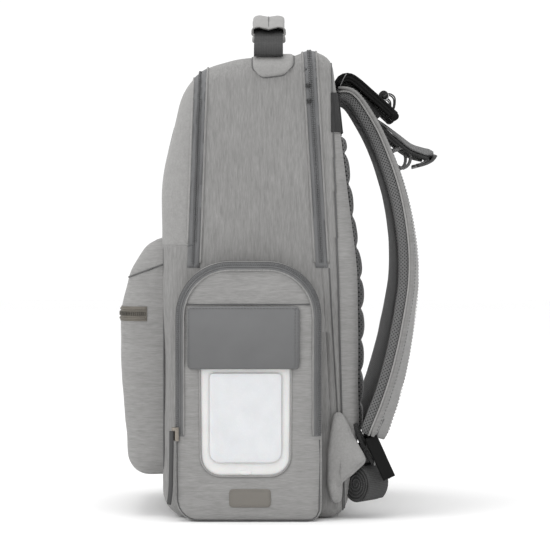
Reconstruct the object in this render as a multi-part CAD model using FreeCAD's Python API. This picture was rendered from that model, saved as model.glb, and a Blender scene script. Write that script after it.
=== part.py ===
import FreeCAD, Part
import math
import os

# A diaper backpack that stands on its base. Millimetres.
# +Z is up, +Y points to the wearer's back, +X is the wearer's right-hand side.
# The origin is on the ground, under the middle of the base.

V = FreeCAD.Vector
os.makedirs("parts", exist_ok=True)

# ---------------------------------------------------------------- driving dimensions
HALF_WIDTH = 128.0      # middle of the bag to its side panels
WALL = 4.0              # fabric, foam and lining together
EDGE_ROUND = 14.0       # rounding where a side panel meets the front, top and back
TAPE = 1.0              # how far zip tapes and patches stand proud
GAP = 0.4               # clearance between pieces that move past each other
FAR = 600.0             # beyond the bag in every direction

LID_Z = 272.0           # lower edge of the front panel that unzips
FRONT_ZIP_Y = -47.0     # front zip at the top of the bag
FRONT_ZIP_SLOPE = 0.037
REAR_ZIP_Y = 57.0       # rear zip at the top of the bag
REAR_ZIP_SLOPE = 0.058
TOP_Z = 445.0
ZIP_END_Z = 242.0       # both long zips end this high on the side panels
ZIP_BAND = 6.0          # half the width of a zip's tapes

PANEL_Y = 80.0          # seam of the padded back panel, at the panel's top
PANEL_SLOPE = 0.03
PANEL_TOP_Z = 371.0
PANEL_LOW_Z = 14.0
MESH_LOW_Z = 78.5       # lowest quilting seam of the mesh pads
MESH_PITCH = 30.5       # from one quilting seam to the next
MESH_ROWS = 9
MESH_TOP_Z = 369.0
MESH_HALF = 96.0

POCKET_HALF = 112.0     # half the width of the front pocket
POCKET_ZIP_Z = 197.0
POCKET_ZIP_HALF = 7.0

SIDE_DEPTH = 26.0       # how far a side pocket stands out
SIDE_WALL = 3.0
SIDE_ROUND = 8.0        # rounding along a side pocket's outer edge
SIDE_FRONT_Y = -71.0
SIDE_REAR_Y = 68.0
SIDE_TOP_Z = 248.0
HEM_Z = 214.0           # mouth of the open bottle pocket

CASE_Y0, CASE_Y1 = -48.0, 39.5
CASE_Z0, CASE_Z1 = 43.0, 202.0
CASE_WALL = 1.8
CASE_ROUND = 19.0
FLAP_Y0, FLAP_Y1 = -60.0, 47.5
FLAP_Z0, FLAP_Z1 = 146.0, 206.0
FLAP_THICK = 2.4

STRAP_WIDTH = 58.0
STRAP_HALF = 9.0        # half the thickness of a shoulder strap
MESH_SKIN = 6.0         # how much of that thickness is the mesh side
WEBBING = 38.0
WEBBING_THICK = 2.2

# ---------------------------------------------------------------- outlines
# Corners of the side outlines: y, z and the corner's radius.
BODY = [
    (-85, 0, 26), (-86, 330, 200), (-66, 412, 60), (-45, 434, 45), (-5, 444, 120),
    (40, 444.5, 30), (57, 452, 18), (78, 443, 18), (104.5, 230, 300), (104.5, 90, 200),
    (92, 0, 20),
]
FRONT_POCKET = [
    (-60, 41, 0), (-60, 274, 0), (-99, 266, 22), (-117, 238, 50), (-126, 200, 60),
    (-125.5, 150, 300), (-119, 41, 22),
]
SIDE_POCKET = [
    (SIDE_FRONT_Y, 0, 22), (SIDE_FRONT_Y, SIDE_TOP_Z, 52),
    (SIDE_REAR_Y, SIDE_TOP_Z, 52), (SIDE_REAR_Y, 0, 12),
]
# Middle lines of the soft straps, as y and z, from the top down.
SHOULDER = [
    (92, 402.3), (98.5, 399.5), (106, 389.5), (120.5, 367), (142, 311), (149.5, 269),
    (151, 226), (145.5, 174), (136, 131), (123, 96), (116, 87),
]
# The same straps from behind, as x and z: they spread from the yoke to the base.
SHOULDER_SPREAD = [(44, 430), (56, 360), (74, 300), (90, 240), (102, 180), (110, 120), (112, 60)]
STROLLER = [(86, 420), (90, 424.5), (98, 421.5), (105, 415.5), (117.5, 404.5), (131, 393.6), (140, 386)]
STERNUM = [(122.5, 384.5), (131, 380), (142.5, 372), (157.5, 358), (171, 352.5)]
STERNUM_CLIP = [(158, 352.2), (168, 344.8), (177.5, 350)]
STERNUM_LOOP = [(150.5, 360.6), (155, 352.5), (152, 343), (144, 339)]
LOWER_WEBBING = [(103.5, 54), (108, 62.5), (114, 72)]
STRAP_X = 50.0          # middle of a stroller strap and of a sternum strap
LOCK_X = 112.0          # middle of a ladder lock and of the lower webbing


def rounded_wire(corners):
    """A closed wire in the YZ plane through corners given as y, z and radius."""
    edges = []
    ends = []
    count = len(corners)
    for i in range(count):
        y, z, radius = corners[i]
        here = V(0, y, z)
        before = V(0, *corners[i - 1][:2]) - here
        after = V(0, *corners[(i + 1) % count][:2]) - here
        before.normalize()
        after.normalize()
        if radius == 0:
            ends.append((here, here, None))
            continue
        half = before.getAngle(after) / 2
        reach = radius / math.tan(half)
        middle = before + after
        middle.normalize()
        belly = here + middle * (radius / math.sin(half) - radius)
        ends.append((here + before * reach, here + after * reach, belly))
    for i in range(count):
        start, stop, belly = ends[i]
        following = ends[(i + 1) % count][0]
        if belly is not None:
            edges.append(Part.Arc(start, belly, stop).toShape())
        edges.append(Part.LineSegment(stop, following).toShape())
    return Part.Wire(edges)


def grown_face(corners, grow=0.0):
    """The face inside rounded corners, grown outwards by a distance."""
    face = Part.Face(rounded_wire(corners))
    if grow:
        face = face.makeOffset2D(grow, 2)
    return face


def along_x(face, x0, x1):
    """A face in the YZ plane pulled out from x0 to x1."""
    moved = face.copy()
    moved.translate(V(x0, 0, 0))
    return moved.extrude(V(x1 - x0, 0, 0))


def rim_edges(solid, places):
    """The edges that lie wholly in one of the planes x = place."""
    found = []
    for edge in solid.Edges:
        box = edge.BoundBox
        for place in places:
            if abs(box.XMin - place) < 1e-3 and abs(box.XMax - place) < 1e-3:
                found.append(edge)
    return found


def polygon(points):
    """A prism across the whole bag over a polygon of y and z points."""
    ring = [V(0, y, z) for y, z in points]
    return along_x(Part.Face(Part.makePolygon(ring + ring[:1])), -FAR, FAR)


def block(x0, x1, y0, y1, z0, z1):
    return Part.makeBox(x1 - x0, y1 - y0, z1 - z0, V(x0, y0, z0))


def mirrored(shape):
    return shape.mirror(V(0, 0, 0), V(1, 0, 0))


def save(name, shape):
    shape.exportStep("parts/" + name + ".step")


def ribbon(path, low, high, x0, x1):
    """A band that follows a path of y and z points, between two offsets from it."""
    sides = []
    count = len(path)
    for offset in (low, high):
        places = []
        for i, (y, z) in enumerate(path):
            ahead = path[min(i + 1, count - 1)]
            behind = path[max(i - 1, 0)]
            dy, dz = ahead[0] - behind[0], ahead[1] - behind[1]
            length = math.hypot(dy, dz)
            places.append(V(0, y - dz / length * offset, z + dy / length * offset))
        curve = Part.BSplineCurve()
        curve.interpolate(places)
        sides.append((curve, places))
    (inner, inner_places), (outer, outer_places) = sides
    wire = Part.Wire([
        inner.toShape(),
        Part.LineSegment(inner_places[-1], outer_places[-1]).toShape(),
        outer.toShape(),
        Part.LineSegment(outer_places[0], inner_places[0]).toShape(),
    ])
    return along_x(Part.Face(wire), x0, x1)


# ---------------------------------------------------------------- the body and its regions
def front_zip_y(z):
    return FRONT_ZIP_Y - (TOP_Z - z) * FRONT_ZIP_SLOPE


def rear_zip_y(z):
    return REAR_ZIP_Y + (TOP_Z - z) * REAR_ZIP_SLOPE


def panel_y(z):
    return PANEL_Y + (PANEL_TOP_Z - z) * PANEL_SLOPE


def body(grow=0.0):
    """The whole outer form of the bag body, grown by a distance."""
    x = HALF_WIDTH + grow
    solid = along_x(grown_face(BODY, grow), -x, x)
    return solid.makeFillet(EDGE_ROUND + grow, rim_edges(solid, (-x, x)))


def between(front, rear, z0, z1, shift0=0.0, shift1=0.0):
    """The slanted slab between two lines y = front(z) + shift0 and y = rear(z) + shift1."""
    return polygon([
        (front(z0) + shift0, z0), (rear(z0) + shift1, z0),
        (rear(z1) + shift1, z1), (front(z1) + shift0, z1),
    ])


def far_front(z):
    return -FAR


def far_rear(z):
    return FAR


OUTER = body()
INNER = body(-WALL)
SKIN = body(TAPE).cut(OUTER)


def main_shell():
    """Side panels, base, lower front and the wall in front of the laptop sleeve."""
    room = INNER.cut(between(rear_zip_y, far_rear, -9, 499, -WALL))
    lid = between(far_front, front_zip_y, LID_Z, 499)
    rear = between(rear_zip_y, far_rear, -9, 499)
    return OUTER.cut(room).cut(lid).cut(rear)


def front_lid():
    """The upper front panel with its gusset, which folds forward about its lower edge."""
    region = between(far_front, front_zip_y, LID_Z + GAP, 499, 0, -GAP)
    return OUTER.common(region).cut(INNER)


def rear_compartment():
    """The laptop sleeve behind the main room, closed by the rear zip."""
    region = between(rear_zip_y, far_rear, -9, 499)
    room = INNER.common(between(rear_zip_y, panel_y, -9, 499, 0, -3.0))
    return OUTER.common(region).cut(room).cut(panel_region())


def panel_region():
    return between(panel_y, far_rear, PANEL_LOW_Z, PANEL_TOP_Z)


def back_panel():
    """The padded panel that lies on the wearer's back."""
    return OUTER.common(panel_region())


def back_line(z):
    """The straight slope of the back above its fullest place, and the line below it."""
    if z > 230:
        return 104.5 - (z - 230) * 26.5 / 213
    return 104.5


def mesh_pad(z0, z1):
    """One quilted pad across the back panel, between two seams."""
    middle = (z0 + z1) / 2
    y = back_line(middle) - 1.2
    pad = block(-MESH_HALF, MESH_HALF, y, y + 5.5, z0 + 0.5, z1 - 0.5)
    outer_edges = [e for e in pad.Edges if e.BoundBox.YMin > y + 1]
    pad = pad.makeFillet(4.5, outer_edges)
    lean = 7.1 if middle > 230 else 0.0
    pad.rotate(V(0, y, middle), V(1, 0, 0), lean)
    return pad.cut(OUTER)


def back_mesh():
    """Quilted mesh pads across the back panel, one above the other, and a short one on top."""
    seams = [MESH_LOW_Z + MESH_PITCH * row for row in range(MESH_ROWS + 1)] + [MESH_TOP_Z]
    return Part.makeCompound([mesh_pad(z0, z1) for z0, z1 in zip(seams, seams[1:])])


def base_board():
    """The stiff board on the floor of the main room."""
    return block(-108, 108, -58, 70, WALL + 0.2, WALL + 2.4)


def back_stiffener():
    """A thin plastic sheet inside the laptop sleeve, against the back panel."""
    sheet = between(panel_y, panel_y, 24, 396, -5.2, -3.6)
    return sheet.common(block(-104, 104, 0, 200, 0, 500))


# ---------------------------------------------------------------- long zips
def main_zip_rear():
    """The main zip's tape on the side panels and top."""
    return SKIN.common(between(front_zip_y, front_zip_y, ZIP_END_Z, 499, 0, ZIP_BAND))


def main_zip_front():
    """The main zip's tape on the lid."""
    return SKIN.common(between(front_zip_y, front_zip_y, LID_Z + GAP, 499, -ZIP_BAND, -GAP))


def rear_zip():
    """Both tapes and the closed chain of the laptop sleeve's zip."""
    return SKIN.common(between(rear_zip_y, rear_zip_y, ZIP_END_Z, 499, -ZIP_BAND, ZIP_BAND))


def slider_body(half_y=4.0, half_z=6.0, depth=3.6):
    """A zip slider that lies on the plane x = 0 and faces +X."""
    solid = block(0, depth, -half_y, half_y, -half_z, half_z)
    return solid.makeFillet(1.2, [e for e in solid.Edges if e.BoundBox.XMin > depth - 0.1])


def pull_tab(width, length, thick):
    """A pull that hangs down from the origin in front of its slider, facing +X."""
    tab = block(0, thick, -width / 2, width / 2, -length, 0)
    upright = [e for e in tab.Edges if e.BoundBox.XLength > thick - 0.1]
    return tab.makeFillet(width * 0.3, upright)


MAIN_SLIDERS = {"upper": 345.0, "lower": 292.0}
REAR_SLIDERS = {"upper": 414.0, "lower": 399.0}
SLIDER_LIFT = 0.3       # a slider's clearance above its tape
SLIDER_DEPTH = 3.6


def lean_angle(slope):
    return math.degrees(math.atan(slope))


def main_slider(z):
    """A slider of the main zip, on the left side panel."""
    slider = slider_body()
    slider.rotate(V(0, 0, 0), V(1, 0, 0), -lean_angle(FRONT_ZIP_SLOPE))
    slider.translate(V(HALF_WIDTH + TAPE + SLIDER_LIFT, front_zip_y(z), z))
    return mirrored(slider)


def main_pull(z):
    pull = pull_tab(6.0, 26.0, 1.6)
    pull.translate(V(HALF_WIDTH + TAPE + SLIDER_LIFT + SLIDER_DEPTH + 0.3, front_zip_y(z), z + 4))
    return mirrored(pull)


def rear_slider(z):
    """A slider of the rear zip, with its short cord pull, on the right side panel."""
    slider = slider_body(3.2, 4.5, 3.0)
    slider.rotate(V(0, 0, 0), V(1, 0, 0), lean_angle(REAR_ZIP_SLOPE))
    slider.translate(V(HALF_WIDTH + TAPE + SLIDER_LIFT, rear_zip_y(z), z))
    return slider


# ---------------------------------------------------------------- front pocket
def pocket_form(grow=0.0):
    """The outer form of the front pocket, grown by a distance."""
    x = POCKET_HALF + grow
    solid = along_x(grown_face(FRONT_POCKET, grow), -x, x)
    rims = [e for e in rim_edges(solid, (-x, x)) if e.BoundBox.YMin < -70]
    solid = solid.makeFillet(16 + grow, rims)
    return solid.cut(OUTER)


def front_pocket():
    return pocket_form().cut(pocket_form(-SIDE_WALL))


def front_pocket_zip():
    """The pocket's zip, which runs across its front and round both corners."""
    band = pocket_form(TAPE).cut(pocket_form())
    reach = block(-FAR, FAR, -FAR, -100, POCKET_ZIP_Z - POCKET_ZIP_HALF, POCKET_ZIP_Z + POCKET_ZIP_HALF)
    return band.common(reach)


POCKET_SLIDER_X = -84.0
POCKET_FRONT_Y = -126.0


def front_pocket_slider():
    """The front pocket's slider, which runs across the pocket."""
    slider = slider_body()
    slider.rotate(V(0, 0, 0), V(1, 0, 0), 90)
    slider.rotate(V(0, 0, 0), V(0, 0, 1), -90)
    slider.translate(V(POCKET_SLIDER_X, POCKET_FRONT_Y - TAPE - SLIDER_LIFT, POCKET_ZIP_Z))
    return slider


def front_pocket_pull():
    pull = pull_tab(7.0, 28.0, 1.6)
    pull.rotate(V(0, 0, 0), V(0, 0, 1), -90)
    y = POCKET_FRONT_Y - TAPE - SLIDER_LIFT - SLIDER_DEPTH - 0.3
    pull.translate(V(POCKET_SLIDER_X, y, POCKET_ZIP_Z + 2))
    return pull


def front_patch():
    """A plain patch on the lid."""
    return body(TAPE + 0.6).cut(OUTER).common(block(-31, 31, -FAR, -60, 328, 379))


def front_label():
    """A plain label low on the front pocket."""
    return pocket_form(TAPE).cut(pocket_form()).common(block(-34, 34, -FAR, -110, 79, 106))


# ---------------------------------------------------------------- wipes pocket, right side
SIDE_X0 = HALF_WIDTH
SIDE_X1 = HALF_WIDTH + SIDE_DEPTH


def side_form(grow=0.0, depth=SIDE_DEPTH):
    """A side pocket's outer form on the right side panel."""
    solid = along_x(grown_face(SIDE_POCKET, grow), SIDE_X0, SIDE_X0 + depth)
    return solid.makeFillet(SIDE_ROUND + grow, rim_edges(solid, (SIDE_X0 + depth,)))


def case_outline(grow=0.0):
    return grown_face([
        (CASE_Y0, CASE_Z0, CASE_ROUND), (CASE_Y0 - 1.5, CASE_Z1, 8),
        (CASE_Y1 + 1.5, CASE_Z1, 8), (CASE_Y1, CASE_Z0, CASE_ROUND),
    ], grow)


def wipes_pocket():
    """A zipped pocket with a window that shows the wipes case."""
    shell = side_form().cut(side_form(-SIDE_WALL, SIDE_DEPTH - SIDE_WALL))
    return shell.cut(along_x(case_outline(0.6), SIDE_X0 + 10, SIDE_X1 + 9))


def wipes_pocket_zip():
    """The zip that follows the pocket's arch along its rounded outer edge."""
    skin = side_form(TAPE, SIDE_DEPTH + TAPE).cut(side_form())
    band = grown_face(SIDE_POCKET, -1).cut(grown_face(SIDE_POCKET, -9))
    strip = skin.common(along_x(band, SIDE_X0 + 10, FAR))
    return strip.cut(block(0, FAR, -FAR, FAR, -FAR, 82))


CASE_FACE_X = SIDE_X1 - 1.0
CASE_BACK_X = SIDE_X0 + 2.0
LID_INSET = 9.5
CASE_LID_TOP = 142.0


def lid_outline(shrink=0.0):
    y0 = CASE_Y0 + LID_INSET + shrink
    y1 = CASE_Y1 - LID_INSET - shrink
    z0 = CASE_Z0 + 14.0 + shrink
    z1 = CASE_LID_TOP - shrink
    return grown_face([(y0, z0, 10), (y0, z1, 3), (y1, z1, 3), (y1, z0, 10)])


def wipes_case():
    """The hard box that holds the wipes. Its face has a hole that the lid closes."""
    box = along_x(case_outline(), CASE_BACK_X, CASE_FACE_X)
    box = box.makeFillet(1.5, rim_edges(box, (CASE_FACE_X,)))
    hollow = along_x(case_outline(-CASE_WALL), CASE_BACK_X + CASE_WALL, CASE_FACE_X - CASE_WALL)
    mouth = along_x(lid_outline(4.0), CASE_FACE_X - CASE_WALL - 1, CASE_FACE_X + 1)
    return box.cut(hollow).cut(mouth)


def wipes_case_lid():
    """The lid over the case's hole, hinged along its top edge."""
    return along_x(lid_outline(), CASE_FACE_X + 0.4, CASE_FACE_X + 2.2)


def wipes_flap():
    """The smooth flap over the top of the window."""
    corners = [
        (FLAP_Y0, FLAP_Z0, 3), (FLAP_Y0, FLAP_Z1, 3), (FLAP_Y1, FLAP_Z1, 3), (FLAP_Y1, FLAP_Z0, 3),
    ]
    x = SIDE_X1 + 1.4
    return along_x(grown_face(corners), x, x + FLAP_THICK)


def wipes_label():
    """A plain label under the window."""
    return block(SIDE_X1, SIDE_X1 + 0.9, -20, 20, 14, 32)


WIPES_SLIDER_Z = 84.0
WIPES_SLIDER_TURN = 50.0    # the slider sits on the pocket's rounded front edge


def on_front_edge(shape, lift, z):
    """Turns a shape that faces +X onto the side pocket's rounded front edge, a lift above it."""
    shape.translate(V(SIDE_ROUND + lift, 0, 0))
    shape.rotate(V(0, 0, 0), V(0, 0, 1), -WIPES_SLIDER_TURN)
    shape.translate(V(SIDE_X1 - SIDE_ROUND, SIDE_FRONT_Y + SIDE_ROUND, z))
    return shape


def wipes_slider():
    slider = slider_body(3.6, 6.5, SLIDER_DEPTH)
    return on_front_edge(slider, TAPE + SLIDER_LIFT, WIPES_SLIDER_Z)


def wipes_pull():
    """A long pull in two flat pieces that are looped together."""
    upper = pull_tab(6.0, 34.0, 1.8)
    lower = pull_tab(5.0, 24.0, 1.8)
    lower.rotate(V(0, 0, 0), V(1, 0, 0), -7)
    lower.translate(V(0, -0.5, -32))
    pull = upper.fuse(lower)
    return on_front_edge(pull, TAPE + SLIDER_LIFT + SLIDER_DEPTH + 0.3, WIPES_SLIDER_Z + 3)


# ---------------------------------------------------------------- bottle pocket, left side
def bottle_pocket():
    """An open pocket on the left side panel."""
    shell = side_form().cut(side_form(-SIDE_WALL, SIDE_DEPTH - SIDE_WALL))
    return mirrored(shell.cut(block(0, FAR, -FAR, FAR, HEM_Z, FAR)))


def bottle_pocket_hem():
    """The elastic hem round the pocket's mouth."""
    outside = grown_face(SIDE_POCKET, 1.0)
    inside = grown_face(SIDE_POCKET, -SIDE_WALL - 1.0)
    ring = along_x(outside, SIDE_X0 + 0.3, SIDE_X1 + 1.0)
    ring = ring.cut(along_x(inside, SIDE_X0 - 1, SIDE_X1 - SIDE_WALL - 1.0))
    return mirrored(ring.common(block(0, FAR, -FAR, FAR, HEM_Z, HEM_Z + 9)))


# ---------------------------------------------------------------- straps
def strap_yoke():
    """The webbing block that both shoulder straps are sewn to."""
    skin = body(3.2).cut(OUTER)
    return skin.common(block(-78, 78, 60, FAR, 372, 410))


def spread_form(width, low_z):
    """What a strap covers when seen from behind: a curving band of one width."""
    prism = ribbon(SHOULDER_SPREAD, -width / 2, width / 2, -FAR, 0)
    prism.rotate(V(0, 0, 0), V(0, 0, 1), -90)
    return prism.cut(block(-FAR, FAR, -FAR, FAR, -FAR, low_z))


def shoulder_strap(low, high):
    side = ribbon(SHOULDER, low, high, 0, 170)
    return side.common(spread_form(STRAP_WIDTH, 60))


def stroller_strap():
    """A black strap folded over on itself, on top of the shoulder strap."""
    return ribbon(STROLLER, -4.2, 4.8, STRAP_X - WEBBING / 2, STRAP_X + WEBBING / 2)


RING_Y, RING_Z = 129.5, 408.0


def clip_roll():
    """A rolled webbing end in a metal cradle, which holds the ring."""
    roll = Part.makeCylinder(3.8, 26, V(STRAP_X - 13, RING_Y, RING_Z), V(1, 0, 0))
    bore = Part.makeCylinder(1.15, 26, V(STRAP_X - 13, RING_Y, RING_Z), V(1, 0, 0))
    foot = block(STRAP_X - 10, STRAP_X + 10, RING_Y - 4.2, RING_Y + 4.2, RING_Z - 6.5, RING_Z)
    foot = foot.cut(ribbon(STROLLER, -9, 5.0, 0, 170))
    return roll.fuse(foot).cut(bore)


def wire_ring():
    """A wire ring that turns in the roll: a straight pin, two legs and a far bar."""
    radius = 1.1
    half = 16.0
    arch = [(RING_Y, RING_Z), (RING_Y + 5.5, RING_Z + 3.0), (RING_Y + 10.5, RING_Z - 1.5), (RING_Y + 11, RING_Z - 11)]
    bars = []
    for side in (-1, 1):
        x = STRAP_X + side * half
        for (y0, z0), (y1, z1) in zip(arch, arch[1:]):
            start = V(x, y0, z0)
            run = V(x, y1, z1) - start
            bars.append(Part.makeCylinder(radius, run.Length, start, run))
        for y, z in arch:
            bars.append(Part.makeSphere(radius, V(x, y, z)))
    for y, z in (arch[0], arch[-1]):
        bars.append(Part.makeCylinder(radius, 2 * half, V(STRAP_X - half, y, z), V(1, 0, 0)))
    return bars[0].multiFuse(bars[1:])


def sternum_webbing():
    return ribbon(STERNUM, -WEBBING_THICK / 2, WEBBING_THICK / 2, STRAP_X - 12, STRAP_X + 12)


def sternum_clip():
    """Half of the chest clip, at the loose end of its webbing."""
    return ribbon(STERNUM_CLIP, -2.0, 2.0, STRAP_X - 13, STRAP_X + 13)


def sternum_loop():
    """An elastic loop that keeps the chest webbing near the shoulder strap."""
    return ribbon(STERNUM_LOOP, -0.8, 0.8, STRAP_X - 6, STRAP_X + 6)


def wing():
    """The fabric wedge that joins the lower webbing to the side panel."""
    outline = [
        (82, 114, 5), (96, 88, 20), (112, 56, 4), (99, 43.5, 8), (88, 36, 3), (88, 16, 4), (78, 16, 4),
        (73.5, 36, 6), (73.5, 62, 40),
    ]
    return along_x(grown_face(outline), HALF_WIDTH + 1.4, HALF_WIDTH + 7.4)


def lower_webbing():
    return ribbon(LOWER_WEBBING, -WEBBING_THICK / 2, WEBBING_THICK / 2, LOCK_X - 22, LOCK_X + 16)


LOCK_TOP = (120.5, 76.0)
LOCK_LENGTH = 41.0
LOCK_ANGLE = 63.0       # how steeply the lock hangs


def ladder_lock():
    """A flat buckle with three bars and two slots."""
    half = 23.0
    thick = 8.0
    plate = block(-half, half, 0, LOCK_LENGTH, -thick / 2, thick / 2)
    for start in (9.0, 24.0):
        plate = plate.cut(block(-half + 4, half - 4, start, start + 7, -thick, thick))
    plate = plate.makeFillet(1.5, [e for e in plate.Edges if e.BoundBox.XLength > 2 * half - 1])
    plate.rotate(V(0, 0, 0), V(1, 0, 0), -LOCK_ANGLE)
    plate.translate(V(LOCK_X, LOCK_TOP[0], LOCK_TOP[1]))
    return plate


ROLL_PLACE = (112.0, 115.5, 34.0)


def webbing_roll():
    """The spare webbing, rolled up and turned a little towards the front."""
    ring = Part.Ellipse(V(0, 0, 0), 19.0, 11.5).toShape()
    oval = Part.Face(Part.Wire([ring])).extrude(V(0, 0, WEBBING))
    oval.translate(V(0, 0, -WEBBING / 2))
    oval.rotate(V(0, 0, 0), V(0, 1, 0), 90)
    oval.rotate(V(0, 0, 0), V(0, 0, 1), -24)
    oval.translate(V(*ROLL_PLACE))
    return oval


# ---------------------------------------------------------------- carry handle
HANDLE_Y = 17.5
HANDLE_HALF = 14.0      # half the webbing's width
HANDLE_ARCH = [(99, 459.5), (84, 465), (66, 469.5), (40, 471.5)]
HANDLE_STUB = [(127, 447), (119, 452.5), (105, 457.5)]
GRIP_HALF = 58.0


def across(path, y0, y1):
    """Webbing that follows a path of x and z points, from y0 to y1."""
    flat = ribbon(path, -1.4, 1.4, 0, y1 - y0)
    flat.rotate(V(0, 0, 0), V(0, 0, 1), -90)
    flat.translate(V(0, y1, 0))
    return flat


def handle_webbing():
    """A strap that arches from side to side above the top."""
    right = [(-x, z) for x, z in HANDLE_ARCH]
    left = [(x, z) for x, z in reversed(HANDLE_ARCH)]
    return across(right + [(0, 472)] + left, HANDLE_Y - HANDLE_HALF, HANDLE_Y + HANDLE_HALF)


def handle_grip():
    """The soft wrap round the middle of the handle."""
    wrap = block(-GRIP_HALF, GRIP_HALF, HANDLE_Y - 16, HANDLE_Y + 16, 461.5, 484)
    long_edges = [e for e in wrap.Edges if e.BoundBox.XLength > GRIP_HALF]
    wrap = wrap.makeFillet(8.0, long_edges)
    return wrap.cut(block(-FAR, FAR, HANDLE_Y - 14.6, HANDLE_Y + 14.6, 467.5, 474.5))


def handle_anchors():
    """The padded patches that the handle's ends are sewn under."""
    skin = body(3.0).cut(body(0.0))
    patch = skin.common(block(104, FAR, 2, 41, 423, 460))
    stub = across(HANDLE_STUB, HANDLE_Y - HANDLE_HALF, HANDLE_Y + HANDLE_HALF)
    half = patch.fuse(stub.cut(OUTER))
    return Part.makeCompound([half, mirrored(half)])


# ---------------------------------------------------------------- write every piece
SINGLE = {
    "main_shell": main_shell,
    "front_lid": front_lid,
    "rear_compartment": rear_compartment,
    "back_panel": back_panel,
    "back_mesh": back_mesh,
    "base_board": base_board,
    "back_stiffener": back_stiffener,
    "main_zip_rear": main_zip_rear,
    "main_zip_front": main_zip_front,
    "rear_zip": rear_zip,
    "front_pocket": front_pocket,
    "front_pocket_zip": front_pocket_zip,
    "front_pocket_slider": front_pocket_slider,
    "front_pocket_pull": front_pocket_pull,
    "front_patch": front_patch,
    "front_label": front_label,
    "wipes_pocket": wipes_pocket,
    "wipes_pocket_zip": wipes_pocket_zip,
    "wipes_slider": wipes_slider,
    "wipes_pull": wipes_pull,
    "wipes_flap": wipes_flap,
    "wipes_case": wipes_case,
    "wipes_case_lid": wipes_case_lid,
    "wipes_label": wipes_label,
    "bottle_pocket": bottle_pocket,
    "bottle_pocket_hem": bottle_pocket_hem,
    "strap_yoke": strap_yoke,
    "handle_webbing": handle_webbing,
    "handle_grip": handle_grip,
    "handle_anchors": handle_anchors,
}
for name, make in SINGLE.items():
    save(name, make())

for place, z in MAIN_SLIDERS.items():
    save("main_slider_" + place, main_slider(z))
    save("main_pull_" + place, main_pull(z))
for place, z in REAR_SLIDERS.items():
    save("rear_slider_" + place, rear_slider(z))

PAIRS = {
    "shoulder_strap": shoulder_strap(MESH_SKIN - STRAP_HALF, STRAP_HALF),
    "strap_mesh": shoulder_strap(-STRAP_HALF, MESH_SKIN - STRAP_HALF),
    "stroller_strap": stroller_strap(),
    "clip_roll": clip_roll(),
    "wire_ring": wire_ring(),
    "sternum_webbing": sternum_webbing(),
    "sternum_clip": sternum_clip(),
    "sternum_loop": sternum_loop(),
    "wing": wing(),
    "lower_webbing": lower_webbing(),
    "ladder_lock": ladder_lock(),
    "webbing_roll": webbing_roll(),
}
for name, shape in PAIRS.items():
    save(name + "_right", shape)
    save(name + "_left", mirrored(shape))
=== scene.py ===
"""The looks of a diaper backpack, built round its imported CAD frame. Sizes are in millimetres until MM."""
import math
from contextlib import contextmanager

import bmesh
import bpy
from mathutils import Matrix, Vector, noise
from mathutils.bvhtree import BVHTree


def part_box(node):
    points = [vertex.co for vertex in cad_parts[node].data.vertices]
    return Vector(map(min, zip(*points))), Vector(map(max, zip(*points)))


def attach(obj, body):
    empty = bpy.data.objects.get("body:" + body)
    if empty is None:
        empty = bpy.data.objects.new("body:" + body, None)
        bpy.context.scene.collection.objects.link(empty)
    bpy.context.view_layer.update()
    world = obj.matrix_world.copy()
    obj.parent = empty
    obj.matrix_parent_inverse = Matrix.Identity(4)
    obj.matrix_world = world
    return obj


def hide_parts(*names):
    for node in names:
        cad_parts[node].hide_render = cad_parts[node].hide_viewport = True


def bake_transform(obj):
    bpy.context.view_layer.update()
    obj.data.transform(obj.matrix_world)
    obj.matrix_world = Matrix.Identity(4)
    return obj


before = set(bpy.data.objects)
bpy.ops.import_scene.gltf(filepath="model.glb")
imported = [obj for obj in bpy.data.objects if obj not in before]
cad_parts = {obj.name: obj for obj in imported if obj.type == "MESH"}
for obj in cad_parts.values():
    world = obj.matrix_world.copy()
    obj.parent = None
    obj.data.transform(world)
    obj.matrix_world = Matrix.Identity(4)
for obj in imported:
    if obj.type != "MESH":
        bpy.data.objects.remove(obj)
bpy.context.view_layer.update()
MM = 0.001


# ================================================================ sizes read from the frame
def node_box(node):
    """A CAD node's lowest and highest corners, in millimetres."""
    low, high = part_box(node)
    return Vector(low) / MM, Vector(high) / MM


HALF_WIDTH = node_box("main_shell")[1].x
POCKET_HALF = node_box("front_pocket")[1].x
SIDE_LOW, SIDE_HIGH = node_box("wipes_pocket")
SIDE_FACE = SIDE_HIGH.x
CASE_LOW, CASE_HIGH = node_box("wipes_case")
CASE_LID_LOW, CASE_LID_HIGH = node_box("wipes_case_lid")
FLAP_LOW, FLAP_HIGH = node_box("wipes_flap")
LID_Z = node_box("front_lid")[0].z
FLOOR_GAP = 0.3
PANEL_LOW, PANEL_HIGH = node_box("back_panel")
GRIP_LOW, GRIP_HIGH = node_box("handle_grip")
ZIP_END = node_box("rear_zip")[0].z
ZIP_HALF = 6.0
TOOTH_PITCH = 1.9
HEM_LOW, HEM_HIGH = node_box("bottle_pocket_hem")
POCKET_ZIP_LOW, POCKET_ZIP_HIGH = node_box("front_pocket_zip")

# Corners of the side outlines: y, z and the corner's radius.
BODY = [
    (-85, 0, 26), (-86, 330, 200), (-66, 412, 60), (-45, 434, 45), (-5, 444, 120),
    (40, 444.5, 30), (57, 452, 18), (78, 443, 18), (104.5, 230, 300), (104.5, 90, 200),
    (92, 0, 20),
]
FRONT_POCKET = [
    (-60, 41, 3), (-60, 274, 3), (-99, 266, 22), (-117, 238, 50), (-126, 200, 60),
    (-125.5, 150, 300), (-119, 41, 22),
]
SIDE_POCKET = [
    (SIDE_LOW.y, SIDE_LOW.z, 22), (SIDE_LOW.y, SIDE_HIGH.z, 52),
    (SIDE_HIGH.y, SIDE_HIGH.z, 52), (SIDE_HIGH.y, SIDE_LOW.z, 12),
]
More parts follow.
